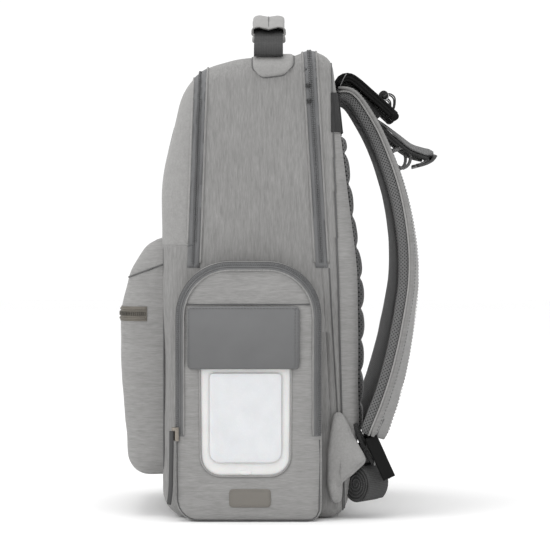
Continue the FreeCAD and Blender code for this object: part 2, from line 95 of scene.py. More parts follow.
# Lines of the straps, as y and z.
SHOULDER = [
    (86, 411), (93, 414.5), (100, 410), (108.5, 396.5), (124.5, 369), (143, 319), (152.5, 268),
    (153.5, 228), (148.5, 190), (140.5, 148), (130.5, 113), (118, 79),
]
STROLLER = [(86, 420), (90, 426), (97, 427), (105, 422), (117.5, 411), (129.5, 400.5), (141.5, 389.5)]
# How far out a shoulder strap lies, as x and z.
SHOULDER_SPREAD = [(44, 430), (56, 360), (74, 300), (90, 240), (102, 180), (110, 120), (112, 60)]
STRAP_X = 50.0
LOCK_X = 112.0
RAIL_OUT = 20.0         # from a lock's middle to each rail
LOCK_TOP = Vector((115.5, 79.5))
LOCK_FOOT = Vector((133.5, 40.0))
ROLL_PLACE = (112.0, 111.0, 34.0)
HANDLE_Y = (GRIP_LOW.y + GRIP_HIGH.y) / 2

# The planes that part the body: a point on each, and its normal.
FRONT_ZIP = (Vector((0, -47, 445)), Vector((0, 1, -0.037)).normalized())
REAR_ZIP = (Vector((0, 57, 445)), Vector((0, 1, 0.058)).normalized())
PANEL_SEAM = (Vector((0, 80, 371)), Vector((0, 1, 0.03)).normalized())


def beyond(plane, place):
    """How far a place is past a plane, along its normal."""
    return (place - plane[0]).dot(plane[1])


# ================================================================ outlines and paths
def evenly(points, step, closed):
    """The same line with points about step apart."""
    line = list(points) + ([points[0]] if closed else [])
    lengths = [(b - a).length for a, b in zip(line, line[1:])]
    total = sum(lengths)
    count = max(3, round(total / step))
    result = []
    index, passed = 0, 0.0
    for k in range(count if closed else count + 1):
        want = total * k / count
        while index < len(lengths) - 1 and passed + lengths[index] < want:
            passed += lengths[index]
            index += 1
        share = (want - passed) / max(lengths[index], 1e-9)
        result.append(line[index].lerp(line[index + 1], min(share, 1.0)))
    return result


def outline(corners, step):
    """Evenly spaced points round a closed outline with corners (a, b, radius)."""
    points = []
    count = len(corners)
    for i, (a, b, radius) in enumerate(corners):
        here = Vector((a, b))
        before = (Vector(corners[i - 1][:2]) - here).normalized()
        after = (Vector(corners[(i + 1) % count][:2]) - here).normalized()
        half = before.angle(after) / 2
        reach = radius / math.tan(half)
        middle = here + (before + after).normalized() * (radius / math.sin(half))
        start = here + before * reach - middle
        turn = math.pi - 2 * half
        sense = 1 if before.cross(after) < 0 else -1
        arcs = max(2, round(radius * turn / step))
        for k in range(arcs + 1):
            spin = Matrix.Rotation(sense * turn * k / arcs, 2)
            points.append(middle + spin @ start)
    return evenly(points, step, True)


def inward(points):
    """The inward normal at each point of a closed 2-D outline."""
    count = len(points)
    area = sum(points[i - 1].cross(points[i]) for i in range(count))
    sense = 1 if area > 0 else -1
    result = []
    for i in range(count):
        along = (points[(i + 1) % count] - points[i - 1]).normalized()
        result.append(Vector((-along.y, along.x)) * sense)
    return result


def smooth_path(points, step):
    """A Catmull-Rom line through points, evenly spaced."""
    places = [Vector(p) for p in points]
    line = []
    last = len(places) - 1
    for i in range(last):
        p0, p1 = places[max(i - 1, 0)], places[i]
        p2, p3 = places[i + 1], places[min(i + 2, last)]
        for k in range(12):
            t = k / 12
            line.append(0.5 * (2 * p1 + (p2 - p0) * t + (2 * p0 - 5 * p1 + 4 * p2 - p3) * t * t
                               + (3 * p1 - p0 - 3 * p2 + p3) * t ** 3))
    line.append(places[-1])
    return evenly(line, step, False)


def heading(path, i):
    """The direction of a path at one of its places."""
    last = len(path) - 1
    return (path[min(i + 1, last)] - path[max(i - 1, 0)]).normalized()


def evened(path, rounds):
    """An open path, smoothed between its ends."""
    for _ in range(rounds):
        inner = [(a + b * 2 + c) / 4 for a, b, c in zip(path, path[1:], path[2:])]
        path = path[:1] + inner + path[-1:]
    return path


def spread_x(z):
    """How far out a shoulder strap lies at a height."""
    for (x0, z0), (x1, z1) in zip(SHOULDER_SPREAD, SHOULDER_SPREAD[1:]):
        if z >= z1:
            share = min(max((z0 - z) / (z0 - z1), 0), 1)
            return x0 + (x1 - x0) * share
    return SHOULDER_SPREAD[-1][0]


# ================================================================ mesh builders
def linked(name, data):
    """A new object in the scene."""
    obj = bpy.data.objects.new(name, data)
    bpy.context.scene.collection.objects.link(obj)
    return obj


def new_object(name, places, faces, smooth=True):
    """A mesh object from places in millimetres."""
    mesh = bpy.data.meshes.new(name)
    mesh.from_pydata([tuple(c * MM for c in p) for p in places], [], faces)
    mesh.validate()
    mesh.update()
    if smooth:
        mesh.shade_smooth()
    return linked(name, mesh)


def loft(name, rings, caps=(False, False)):
    """A skin through closed rings of places, each as long as the next."""
    count = len(rings[0])
    faces = []
    for r in range(len(rings) - 1):
        for i in range(count):
            j = (i + 1) % count
            faces.append((r * count + i, r * count + j, (r + 1) * count + j, (r + 1) * count + i))
    if caps[0]:
        faces.append(tuple(reversed(range(count))))
    if caps[1]:
        faces.append(tuple((len(rings) - 1) * count + i for i in range(count)))
    obj = new_object(name, [p for ring in rings for p in ring], faces)
    fix_mesh(obj)
    return obj


def grid(name, columns, rows, place_at, outward):
    """A skin whose places are place_at(u, v), with u and v from 0 to 1."""
    places = [place_at(c / columns, r / rows) for r in range(rows + 1) for c in range(columns + 1)]
    wide = columns + 1
    faces = []
    for r in range(rows):
        for c in range(columns):
            a = r * wide + c
            faces.append((a, a + 1, a + wide + 1, a + wide))
    obj = new_object(name, places, faces)
    fix_normals(obj, outward)
    return obj


def fix_normals(obj, outward):
    """Turns an open skin so that it faces a direction."""
    total = Vector((0, 0, 0))
    for face in obj.data.polygons:
        total += face.normal * face.area
    if total.dot(outward) < 0:
        obj.data.flip_normals()


@contextmanager
def edited(obj):
    """An object's mesh, open for editing."""
    bm = bmesh.new()
    bm.from_mesh(obj.data)
    yield bm
    bm.to_mesh(obj.data)
    bm.free()


def cut(bm, plane, **settings):
    """Cuts a whole mesh along a plane."""
    everything = bm.verts[:] + bm.edges[:] + bm.faces[:]
    bmesh.ops.bisect_plane(bm, geom=everything, plane_co=plane[0] * MM, plane_no=plane[1], **settings)


def fix_mesh(obj):
    """Merges doubles and turns the normals outwards."""
    with edited(obj) as bm:
        bmesh.ops.remove_doubles(bm, verts=bm.verts, dist=0.02 * MM)
        bmesh.ops.recalc_face_normals(bm, faces=bm.faces)


def copy_of(obj, name):
    """A copy of an object with a mesh of its own."""
    twin = obj.copy()
    twin.data = obj.data.copy()
    twin.name = twin.data.name = name
    bpy.context.scene.collection.objects.link(twin)
    return twin


def mirror_of(obj, name):
    """The same piece on the other side of the bag."""
    twin = copy_of(obj, name)
    twin.data.transform(Matrix.Scale(-1, 4, (1, 0, 0)))
    twin.data.flip_normals()
    return twin


def join(name, pieces):
    """One object made of several, with their materials."""
    bm = bmesh.new()
    slots = []
    for piece in pieces:
        start = len(bm.faces)
        bm.from_mesh(piece.data)
        bm.faces.ensure_lookup_table()
        mats = list(piece.data.materials)
        for face in bm.faces[start:]:
            mat = mats[face.material_index] if mats else None
            if mat not in slots:
                slots.append(mat)
            face.material_index = slots.index(mat)
    mesh = bpy.data.meshes.new(name)
    bm.to_mesh(mesh)
    bm.free()
    for mat in slots:
        mesh.materials.append(mat)
    obj = linked(name, mesh)
    for piece in pieces:
        bpy.data.objects.remove(piece)
    return obj


def apply_modifiers(obj):
    """Bakes an object's modifiers into its mesh."""
    graph = bpy.context.evaluated_depsgraph_get()
    mesh = bpy.data.meshes.new_from_object(obj.evaluated_get(graph))
    obj.modifiers.clear()
    obj.data = mesh


def carve(obj, planes, keep):
    """Cuts an object along planes and leaves the faces whose middle keep() accepts."""
    with edited(obj) as bm:
        for plane in planes:
            cut(bm, plane, dist=1e-6)
        lost = [f for f in bm.faces if not keep(f.calc_center_median() / MM)]
        bmesh.ops.delete(bm, geom=lost, context="FACES")
    return obj


def flat_plane(axis, at):
    """The plane where one coordinate has a value."""
    normal = Vector((0, 0, 0))
    normal["xyz".index(axis)] = 1
    return (normal * at, normal)


def region(**limits):
    """The planes that bound a box, and a test for places in it: x=(low, high), with None for no limit."""
    planes = [flat_plane(axis, at) for axis, ends in limits.items() for at in ends if at is not None]

    def inside(place):
        for axis, (low, high) in limits.items():
            at = getattr(place, axis)
            if (low is not None and at <= low) or (high is not None and at >= high):
                return False
        return True
    return planes, inside


def shifted(plane, distance):
    """A (place, normal) plane moved along its normal."""
    return (plane[0] + plane[1] * distance, plane[1])


def move_points(obj, change):
    """Moves every point by change(place, normal), in millimetres."""
    mesh = obj.data
    normals = [v.normal.copy() for v in mesh.vertices]
    for vertex, normal in zip(mesh.vertices, normals):
        place = vertex.co / MM
        vertex.co = (place + change(place, normal)) * MM
    mesh.update()


def grow(obj, distance):
    """Moves every point outwards, in millimetres."""
    move_points(obj, lambda place, normal: normal * distance)


def rumple(obj, amount, size, seed, stretch=(1, 1, 1)):
    """Uneven cloth: moves points along their normals by smooth noise."""
    shift = Vector((seed * 17.3, seed * 5.1, seed * 9.7))

    def change(place, normal):
        at = Vector(place[i] / size / stretch[i] for i in range(3)) + shift
        return normal * amount * noise.noise(at)

    move_points(obj, change)


def stand(obj):
    """Flattens what would dip to the floor."""
    move_points(obj, lambda place, normal: Vector((0, 0, max(0.0, FLOOR_GAP - place.z))))


def thicken(obj, depth, lining=None):
    """Gives a skin its thickness, towards its inside."""
    solid = obj.modifiers.new("thickness", "SOLIDIFY")
    solid.thickness = depth * MM
    solid.offset = -1
    if lining is not None:
        obj.data.materials.append(lining)
        solid.material_offset = len(obj.data.materials) - 1
    apply_modifiers(obj)


def soften(obj):
    """Subdivides and rounds a mesh."""
    modifier = obj.modifiers.new("smooth", "SUBSURF")
    modifier.levels = modifier.render_levels = 1
    apply_modifiers(obj)


SPINE_STEP = 10.0       # where both halves of a soft box's side meet, on its spine
SKIN_STEP = 4.0
FACE_CROWN = 1.0


def relaxed(points, rounds):
    """A closed ring of points, evened out."""
    for _ in range(rounds):
        points = [(points[i - 1] + 2 * p + points[(i + 1) % len(points)]) / 4 for i, p in enumerate(points)]
    return points


def soft_box(name, corners, half_width, radius_at, spine, side_crown):
    """A padded box: a side outline carried across, with rounded rims and crowned faces."""
    line = outline(corners, SKIN_STEP)
    normals = inward(line)
    radii = [radius_at(-n) for n in normals]
    rings = []

    def ring(x_of, inset_of, share=0.0):
        places = []
        edge = [p + n * inset_of(r) for p, n, r in zip(line, normals, radii)]
        for q, r in zip(relaxed(edge, int(100 * share)), radii):
            low, high = spine
            target = Vector((low[0], min(max(round(q.y / SPINE_STEP) * SPINE_STEP, low[1]), high[1])))
            q = q.lerp(target, share)
            places.append(Vector((x_of(r), q.x, q.y)))
        return places

    side = []
    for share in (1.0, 0.9, 0.8, 0.7, 0.6, 0.5, 0.4, 0.31, 0.23, 0.16, 0.1, 0.05):
        lift = side_crown * (1 - (1 - share) ** 2)
        side.append((lambda r, lift=lift: half_width + lift, lambda r: r, share))
    for k in range(6, 0, -1):
        angle = math.radians(90 * k / 6)
        side.append((
            lambda r, a=angle: half_width - r + r * math.sin(a),
            lambda r, a=angle: r * (1 - math.cos(a)), 0.0))
    for x_of, inset_of, share in side:
        rings.append(ring(lambda r, f=x_of: -f(r), inset_of, share))
    flats = 40
    for k in range(flats + 1):
        u = 2 * k / flats - 1
        rings.append(ring(lambda r, u=u: u * (half_width - r), lambda r, u=u: -FACE_CROWN * (1 - u * u)))
    for x_of, inset_of, share in reversed(side):
        rings.append(ring(x_of, inset_of, share))
    return loft(name, rings)


def plate(name, line, levels, crown_rings, crown):
    """A plate built from its outline (y, z): levels are (inset, x) from back to face."""
    normals = inward(line)
    rings = [[Vector((x, *(p + n * inset))) for p, n in zip(line, normals)] for inset, x in levels]
    middle = Vector((0, 0))
    for p in line:
        middle += p / len(line)
    last = [Vector((p.y, p.z)) for p in rings[-1]]
    x_last = levels[-1][1]
    for k in range(1, crown_rings + 1):
        share = k / crown_rings
        x = x_last + crown * (1 - (1 - share) ** 2)
        rings.append([Vector((x, *p.lerp(middle, share))) for p in last])
    return loft(name, rings)


def section_points(width, thick, power, count=28):
    """A rounded cross-section: (across, up) pairs."""
    points = []
    for k in range(count):
        a = 2 * math.pi * k / count
        c, s = math.cos(a), math.sin(a)
        u = math.copysign(abs(c) ** (2 / power), c) * width / 2
        v = math.copysign(abs(s) ** (2 / power), s) * thick / 2
        points.append((u, v))
    return points


def strap_axes(path, sides, i):
    """The directions across a strap and out of its face, at one place of its path."""
    along = heading(path, i)
    side = (sides[i] - along * sides[i].dot(along)).normalized()
    return side, side.cross(along)


def sweep(name, path, sides, section, scale=None, lift=0.0):
    """Carries a cross-section along a path. sides gives the width direction at each place."""
    rings = []
    total = len(path) - 1
    for i, place in enumerate(path):
        side, up = strap_axes(path, sides, i)
        su, sv = scale(i / total) if scale else (1, 1)
        rings.append([place + side * u * su + up * (v * sv + lift) for u, v in section])
    obj = loft(name, rings, caps=(True, True))
    strap_uv(obj, path, section)
    return obj


def strap_uv(obj, path, section):
    """UVs in metres: u round the section, v along the path."""
    lengths = [0.0]
    for a, b in zip(path, path[1:]):
        lengths.append(lengths[-1] + (b - a).length)
    around = [0.0]
    for a, b in zip(section, section[1:]):
        around.append(around[-1] + math.dist(a, b))
    total_round = around[-1] + math.dist(section[-1], section[0])
    count = len(section)
    layer = obj.data.uv_layers.new(name="strap")
    for face in obj.data.polygons:
        ids = [obj.data.loops[k].vertex_index for k in face.loop_indices]
        columns = [i % count for i in ids]
        wraps = max(columns) - min(columns) > count / 2
        for k, i in zip(face.loop_indices, ids):
            u = around[i % count]
            if wraps and i % count == 0:
                u = total_round
            layer.data[k].uv = (u * MM, lengths[min(i // count, len(lengths) - 1)] * MM)


def tube(name, path, radius, count, closed):
    """A round cord along a path."""
    rings = []
    total = len(path)
    up = Vector((0.31, 0.2, 0.93))
    for i, place in enumerate(path):
        ahead = path[(i + 1) % total] if closed else path[min(i + 1, total - 1)]
        behind = path[i - 1] if closed else path[max(i - 1, 0)]
        along = (ahead - behind).normalized()
        side = along.cross(up).normalized()
        up = side.cross(along).normalized()
        rings.append([
            place + (side * math.cos(a) + up * math.sin(a)) * radius
            for a in (2 * math.pi * k / count for k in range(count))
        ])
    if closed:
        rings.append(rings[0])
        return loft(name, rings)
    return loft(name, rings, caps=(True, True))


def beads(name, path, normals, pitch, size, offset=0.0, lift=0.0):
    """Small bricks along a path: stitches or the teeth of a zip."""
    length, width, height = (s / 2 for s in size)
    places, faces = [], []
    steps = [0.0]
    for a, b in zip(path, path[1:]):
        steps.append(steps[-1] + (b - a).length)
    count = int(steps[-1] / pitch)
    index = 0
    for k in range(count):
        want = (k + 0.5) * steps[-1] / count
        while steps[index + 1] < want:
            index += 1
        share = (want - steps[index]) / (steps[index + 1] - steps[index])
        place = path[index].lerp(path[index + 1], share)
        up = normals[index].lerp(normals[index + 1], share).normalized()
        along = (path[index + 1] - path[index]).normalized()
        side = along.cross(up).normalized()
        centre = place + up * lift + side * offset
        first = len(places)
        for sx, sy, sz in ((-1, -1, -1), (1, -1, -1), (1, 1, -1), (-1, 1, -1),
                           (-0.7, -0.7, 1), (0.7, -0.7, 1), (0.7, 0.7, 1), (-0.7, 0.7, 1)):
            places.append(centre + along * sx * length + side * sy * width + up * sz * height)
        for f in ((0, 3, 2, 1), (4, 5, 6, 7), (0, 1, 5, 4), (1, 2, 6, 5), (2, 3, 7, 6), (3, 0, 4, 7)):
            faces.append(tuple(first + i for i in f))
    obj = new_object(name, places, faces, smooth=False)
    fix_mesh(obj)
    return obj


def girdle(obj, plane, lowest):
    """Where a plane cuts a closed skin above a height: places and outward normals."""
    bm = bmesh.new()
    bm.from_mesh(obj.data)
    cut(bm, plane, clear_inner=True)
    bm.normal_update()
    rim = [e for e in bm.edges if e.is_boundary]
    links = {}
    for edge in rim:
        for v in edge.verts:
            links.setdefault(v, []).append(edge.other_vert(v))
    start = min(links, key=lambda v: v.co.z)
    chain = [start]
    came, here = None, start
    while True:
        onward = [v for v in links[here] if v is not came]
        if not onward or onward[0] is start:
            break
        came, here = here, onward[0]
        chain.append(here)
    line = []
    for v in chain:
        flat = v.normal - plane[1] * v.normal.dot(plane[1])
        line.append((v.co / MM, flat.normalized()))
    bm.free()
    kept = [pair for pair in line if pair[0].z > lowest]
    return [p for p, n in kept], [n for p, n in kept]


RING_PLACES = 180


def ray_ring(line, centre):
    """Where even rays from a centre leave a closed 2-D outline, from the lowest one round."""
    ring = []
    for k in range(RING_PLACES):
        angle = 2 * math.pi * k / RING_PLACES - math.pi / 2
        ray = Vector((math.cos(angle), math.sin(angle)))
        best = 0.0
        for i in range(len(line)):
            near, far = line[i - 1] - centre, line[i] - centre
            edge = far - near
            turn = ray.cross(edge)
            if abs(turn) < 1e-9:
                continue
            reach = near.cross(edge) / turn
            share = near.cross(ray) / turn
            if -1e-6 <= share <= 1 + 1e-6:
                best = max(best, reach)
        ring.append(centre + ray * best)
    return ring


def at_x(points, x):
    """2-D points (y, z) as places at one x."""
    return [Vector((x, p.x, p.y)) for p in points]


def inset_line(corners, inset, step):
    """A rounded outline moved inwards by a distance."""
    line = outline(corners, step)
    return [p + n * inset for p, n in zip(line, inward(line))]


def shrunk(corners, inset):
    """The outline of an upright four-cornered shape, made smaller all round."""
    middle_a = sum(c[0] for c in corners) / len(corners)
    middle_b = sum(c[1] for c in corners) / len(corners)
    moved = []
    for a, b, radius in corners:
        moved.append((a + math.copysign(inset, middle_a - a), b + math.copysign(inset, middle_b - b),
                      max(radius - inset, 1.0)))
    return outline(moved, 3.0)


def surface_of(obj):
    """Finds where a line meets an object from outside: its place and normal, in millimetres."""
    mesh = obj.data
    tree = BVHTree.FromPolygons([v.co / MM for v in mesh.vertices], [list(f.vertices) for f in mesh.polygons])

    def hit(start, direction):
        place, normal, _, _ = tree.ray_cast(Vector(start), Vector(direction))
        if normal is not None and normal.dot(Vector(direction)) > 0:
            normal = -normal
        return place, normal
    return hit


def side_face(obj):
    """The x of an object's outermost face at a height and depth, seen from +X."""
    hit = surface_of(obj)
    return lambda y, z: hit((400, y, z), (-1, 0, 0))[0].x


# ================================================================ materials
class Shader:
    """A material's nodes, added one at a time."""

    def __init__(self, name):
        self.material = bpy.data.materials.new(name)
        self.material.use_nodes = True
        self.tree = self.material.node_tree
        self.surface = self.tree.nodes["Principled BSDF"]

    def put(self, socket, value):
        if isinstance(value, bpy.types.NodeSocket):
            self.tree.links.new(value, socket)
        else:
            socket.default_value = value

    def add(self, kind, inputs=None, **settings):
        made = self.tree.nodes.new("ShaderNode" + kind)
        for key, value in settings.items():
            setattr(made, key, value)
        for key, value in (inputs or {}).items():
            self.put(made.inputs[key], value)
        return made

    def math(self, operation, a, b=0.0):
        return self.add("Math", {0: a, 1: b}, operation=operation).outputs[0]

    def object_place(self):
        return self.add("TexCoord").outputs["Object"]

    def strap_place(self):
        return self.add("UVMap", uv_map="strap").outputs[0]

    def scaled(self, place, sizes):
        """Coordinates counted in grains of the given sizes, in millimetres."""
        scale = tuple(1 / (size * MM) for size in sizes)
        return self.add("VectorMath", {0: place, 1: scale}, operation="MULTIPLY").outputs[0]

    def noise(self, place, sizes, detail=2.0, rough=0.5):
        inputs = {"Vector": self.scaled(place, sizes), "Scale": 1.0, "Detail": detail, "Roughness": rough}
        return self.add("TexNoise", inputs).outputs["Fac"]

    def wave(self, place, axis, pitch):
        """A ripple between -1 and 1 along one axis."""
        part = self.add("SeparateXYZ", {0: place}).outputs[axis]
        return self.math("SINE", self.math("MULTIPLY", part, 2 * math.pi / (pitch * MM)))

    def spread(self, value, low, high, to_low=0.0, to_high=1.0):
        inputs = {"Value": value, "From Min": low, "From Max": high, "To Min": to_low, "To Max": to_high}
        return self.add("MapRange", inputs).outputs[0]

    def tint(self, share, dark, light):
        mix = self.add("Mix", {0: share, 6: (*dark, 1), 7: (*light, 1)}, data_type="RGBA")
        return mix.outputs[2]

    def finish(self, colour, rough, height=None, depth=0.2, strength=0.5, **fixed):
        """Connects what varies, and sets what is the same all over on the shader's own sockets."""
        self.put(self.surface.inputs["Base Color"], colour)
        self.put(self.surface.inputs["Roughness"], rough)
        if height is not None:
            bump = self.add("Bump", {"Strength": strength, "Distance": depth * MM, "Height": height})
            self.put(self.surface.inputs["Normal"], bump.outputs[0])
        for name, value in fixed.items():
            self.surface.inputs[name.replace("_", " ").title().replace("Ior", "IOR")].default_value = value
        return self.material


def grey(level, warm=0.0):
    """A linear grey, a little warmer or cooler."""
    return (level * (1 + warm), level, level * (1 - 1.6 * warm))


def heather(name, level, grain, contrast):
    """Mottled melange cloth. grain holds its slubs' size along X, Y and Z."""
    s = Shader(name)
    place = s.object_place()
    thin = s.noise(place, grain, 3.0, 0.6)
    wide = s.noise(place, [g * 2.8 for g in grain], 2.0)
    fine = s.noise(place, (0.5, 0.5, 0.5), 1.0)
    slow = s.noise(place, (70, 70, 70), 1.0)
    mixed = s.math("ADD", s.math("MULTIPLY", thin, 0.5), s.math("MULTIPLY", wide, 0.28))
    mixed = s.math("ADD", mixed, s.math("MULTIPLY", fine, 0.12))
    mixed = s.math("ADD", mixed, s.math("MULTIPLY", slow, 0.1))
    share = s.spread(mixed, 0.34, 0.66)
    colour = s.tint(share, grey(level * (1 - contrast), 0.012), grey(level * (1 + contrast), 0.012))
    rough = s.spread(fine, 0.3, 0.7, 0.78, 0.95)
    height = s.math("ADD", s.math("MULTIPLY", fine, 0.6), thin)
    return s.finish(colour, rough, height, 0.35, 0.55, sheen_weight=0.12, sheen_roughness=0.5)


def webbing(name, level):
    """Woven strap with ribs across it. It needs the strap coordinates."""
    s = Shader(name)
    place = s.strap_place()
    ribs = s.wave(place, 1, 1.7)
    cords = s.wave(place, 0, 2.4)
    weave = s.math("ADD", ribs, s.math("MULTIPLY", cords, 0.5))
    wear = s.noise(s.object_place(), (6, 6, 6), 3.0)
    share = s.spread(s.math("ADD", s.math("MULTIPLY", weave, 0.2), wear), 0.2, 0.85)
    colour = s.tint(share, grey(level * 0.68), grey(level * 1.3))
    rough = s.spread(wear, 0.3, 0.7, 0.6, 0.8)
    return s.finish(colour, rough, weave, 0.25, 0.6, specular_ior_level=0.2)


def air_mesh(name, level, on_strap, pitch=4.2):
    """Spacer mesh: rows of round holes, each row set off by half a hole, with the holes painted near-black as
    painted shade.
    """
    s = Shader(name)
    if on_strap:
        place = s.strap_place()
        first, second = s.wave(place, 0, pitch), s.wave(place, 1, pitch)
    else:
        place = s.object_place()
        first, second = s.wave(place, 0, pitch), s.wave(place, 2, pitch)
    lattice = s.math("MULTIPLY", first, second)
    threads = s.noise(s.object_place(), (0.6, 0.6, 0.6), 2.0)
    hole = s.spread(lattice, 0.25, 0.5)
    solid = s.tint(s.spread(threads, 0.35, 0.65), grey(level * 0.75), grey(level * 1.25))
    # Painted shade: the holes take a near-black colour in place of the shade inside them.
    mix = s.add("Mix", {0: hole, 6: solid, 7: (*grey(level * 0.1), 1)}, data_type="RGBA").outputs[2]
    height = s.math("SUBTRACT", s.math("MULTIPLY", threads, 0.3), hole)
    return s.finish(mix, s.spread(threads, 0.3, 0.7, 0.75, 0.95), height, 0.8, 0.7, sheen_weight=0.1)


def tape(name, level, warm=0.0):
    """Tightly woven zip tape."""
    s = Shader(name)
    place = s.object_place()
    fine = s.noise(place, (0.5, 0.5, 0.9), 2.0)
    cloudy = s.noise(place, (9, 9, 30), 2.0)
    share = s.spread(s.math("ADD", s.math("MULTIPLY", fine, 0.7), s.math("MULTIPLY", cloudy, 0.5)), 0.4, 0.8)
    colour = s.tint(share, grey(level * 0.8, warm), grey(level * 1.2, warm))
    return s.finish(colour, s.spread(fine, 0.3, 0.7, 0.6, 0.8), fine, 0.2, 0.5, sheen_weight=0.05)


def leatherette(name, level, warm, rough, mottle_and_painted_shade=0.05):
    """Smooth coated cloth with a fine pebble grain. Past a set spread, its colour carries painted shade that
    makes it a little darker towards the flap's lower, free edge.
    """
    s = Shader(name)
    place = s.object_place()
    cells = s.add("TexVoronoi", {"Vector": s.scaled(place, (1.1, 1.1, 1.1)), "Scale": 1.0}).outputs[0]
    soft = s.noise(place, (28, 28, 22), 2.0)
    fine = s.noise(place, (0.4, 0.4, 0.4), 2.0)
    share = s.spread(soft, 0.3, 0.7)
    # Painted shade: by height, the colour darkens from the flap's top down to its lower edge.
    if mottle_and_painted_shade > 0.05:
        painted_shade_by_height = s.spread(s.add("SeparateXYZ", {0: place}).outputs[2], FLAP_LOW.z * MM, FLAP_HIGH.z * MM)
        share = s.math("ADD", s.math("MULTIPLY", share, 0.25), s.math("MULTIPLY", painted_shade_by_height, 0.75))
    colour = s.tint(share, grey(level * (1 - mottle_and_painted_shade), warm), grey(level * (1 + mottle_and_painted_shade), warm))
    height = s.math("ADD", cells, s.math("MULTIPLY", fine, 0.5))
    return s.finish(colour, s.spread(fine, 0.3, 0.7, rough - 0.08, rough + 0.1), height, 0.12, 0.35)


def moulded(name, level, rough, warm=0.0, coat=0.0, translucent=0.0, shine=0.5):
    """Moulded plastic with a faint unevenness."""
    s = Shader(name)
    place = s.object_place()
    soft = s.noise(place, (16, 16, 16), 2.0)
    fine = s.noise(place, (0.7, 0.7, 0.7), 2.0)
    colour = s.tint(s.spread(soft, 0.3, 0.7), grey(level * 0.96, warm), grey(level * 1.02, warm))
    return s.finish(colour, s.spread(fine, 0.3, 0.7, rough * 0.85, rough * 1.15), fine, 0.02, 0.1,
                    coat_weight=coat, subsurface_weight=translucent, subsurface_scale=0.004,
                    specular_ior_level=shine)


def worn_metal(name, colour):
    """Plated zinc with fine scratches and duller patches."""
    s = Shader(name)
    place = s.object_place()
    lines = s.noise(place, (0.25, 0.25, 3.0), 3.0)
    patches = s.noise(place, (4, 4, 4), 3.0)
    dull = tuple(c * 0.7 for c in colour)
    return s.finish(s.tint(s.spread(patches, 0.35, 0.65), dull, colour),
                    s.spread(patches, 0.3, 0.7, 0.25, 0.45), lines, 0.05, 0.3, metallic=1.0)


FINE, LONG = 0.9, 8.5
UPRIGHT = heather("heather_upright", 0.222, (FINE, FINE, LONG), 0.24)
LEVEL = heather("heather_level", 0.243, (LONG, LONG, FINE), 0.20)
COVER = heather("heather_cover", 0.20, (LONG, LONG, FINE), 0.18)
SMOOTH = heather("heather_smooth", 0.262, (2.0, 2.0, 2.0), 0.12)
LINING = tape("lining", 0.22, 0.02)
DARK_WEBBING = webbing("webbing_dark", 0.036)
# A lighter copy of the dark webbing for the rolled spare end: painted light that offsets the shade the roll
# sits in.
LIT_ROLL_WEBBING = webbing("webbing_rolled_painted_light", 0.056)
MID_WEBBING = webbing("webbing_mid", 0.14)
BLACK_WEBBING = webbing("webbing_black", 0.004)
GREY_WEBBING = webbing("webbing_grey", 0.24)
MESH_BACK = air_mesh("mesh_back", 0.13, False)
MESH_STRAP = air_mesh("mesh_strap", 0.12, True, 3.4)
ZIP_TAPE = tape("zip_tape", 0.135, -0.012)
ZIP_COIL = tape("zip_coil", 0.11, -0.012)
SEAM_THREAD = tape("seam_thread", 0.09)
TAUPE_TAPE = tape("taupe_tape", 0.12, 0.10)
TAUPE_COIL = tape("taupe_coil", 0.07, 0.10)
# The flap's skin carries painted shade, darker towards its lower edge.
FLAP_SKIN = leatherette("flap_skin", 0.122, -0.01, 0.45, 0.16)
LABEL_SKIN = leatherette("label_skin", 0.152, 0.07, 0.55)
PATCH_SKIN = leatherette("patch_skin", 0.09, 0.0, 0.5)
PULL_SKIN = leatherette("pull_skin", 0.03, 0.0, 0.45)
WHITE_PLASTIC = moulded("white_plastic", 0.64, 0.25, -0.015, coat=0.3, translucent=0.1)
WHITE_RIM = moulded("white_rim", 0.68, 0.3, 0.006, coat=0.2, translucent=0.1)
BLACK_PLASTIC = moulded("black_plastic", 0.003, 0.5, shine=0.15)
BOARD = moulded("inner_board", 0.05, 0.5)
METAL = worn_metal("worn_metal", (0.33, 0.30, 0.26))
STEEL = worn_metal("steel", (0.62, 0.62, 0.62))
CLIP_PLASTIC = moulded("clip_plastic", 0.055, 0.5, shine=0.3)
DARK_METAL = worn_metal("dark_metal", (0.06, 0.06, 0.06))


def wear(obj, material):
    """Gives a piece its one material."""
    obj.data.materials.clear()
    obj.data.materials.append(material)
    return obj


def cord(name, path, radius, material, count=8, closed=False):
    """A round cord, sewn line or bar in its material."""
    return wear(tube(name, path, radius, count, closed), material)


def lifted(path, normals, lift):
    """A path moved outwards from the surface it lies on."""
    return [p + n * lift for p, n in zip(path, normals)]


def place_on(body, slot, piece, *nodes):
    """Lets a piece ride on a body and stand for CAD nodes. The slot is not used."""
    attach(piece, body)
    if nodes:
        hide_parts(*nodes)
    return piece


# ================================================================ body of the bag
LID_FOOT = LID_Z - 10.0
SEAM_LIFT = 0.5
SEWN_FROM, SEWN_TO = 4.0, 446.0     # heights that the back panel's sewn lines run between
NO_LIMIT = 999.0


def body_radius(outward):
    """Rounding of the body's rims: wide at the front, tight at the back and base."""
    return 12 + 12 * max(0.0, -outward.x) + 3 * max(0.0, outward.y)


def body_skin():
    """The whole outside of the body, a little slack, flat where it stands."""
    skin = soft_box("skin", BODY, HALF_WIDTH, body_radius, ((5, 60), (5, 380)), 1.0)
    rumple(skin, 1.6, 75, 3)
    rumple(skin, 0.7, 26, 8, (1, 1, 2.5))
    stand(skin)
    return skin


SKIN = body_skin()


def in_lid(p):
    """Whether a place belongs to the front panel that opens."""
    return beyond(FRONT_ZIP, p) < 0 and p.z > LID_FOOT


def in_panel(p):
    """Whether a place belongs to the padded back."""
    return beyond(PANEL_SEAM, p) > 0 and PANEL_LOW.z < p.z < PANEL_HIGH.z


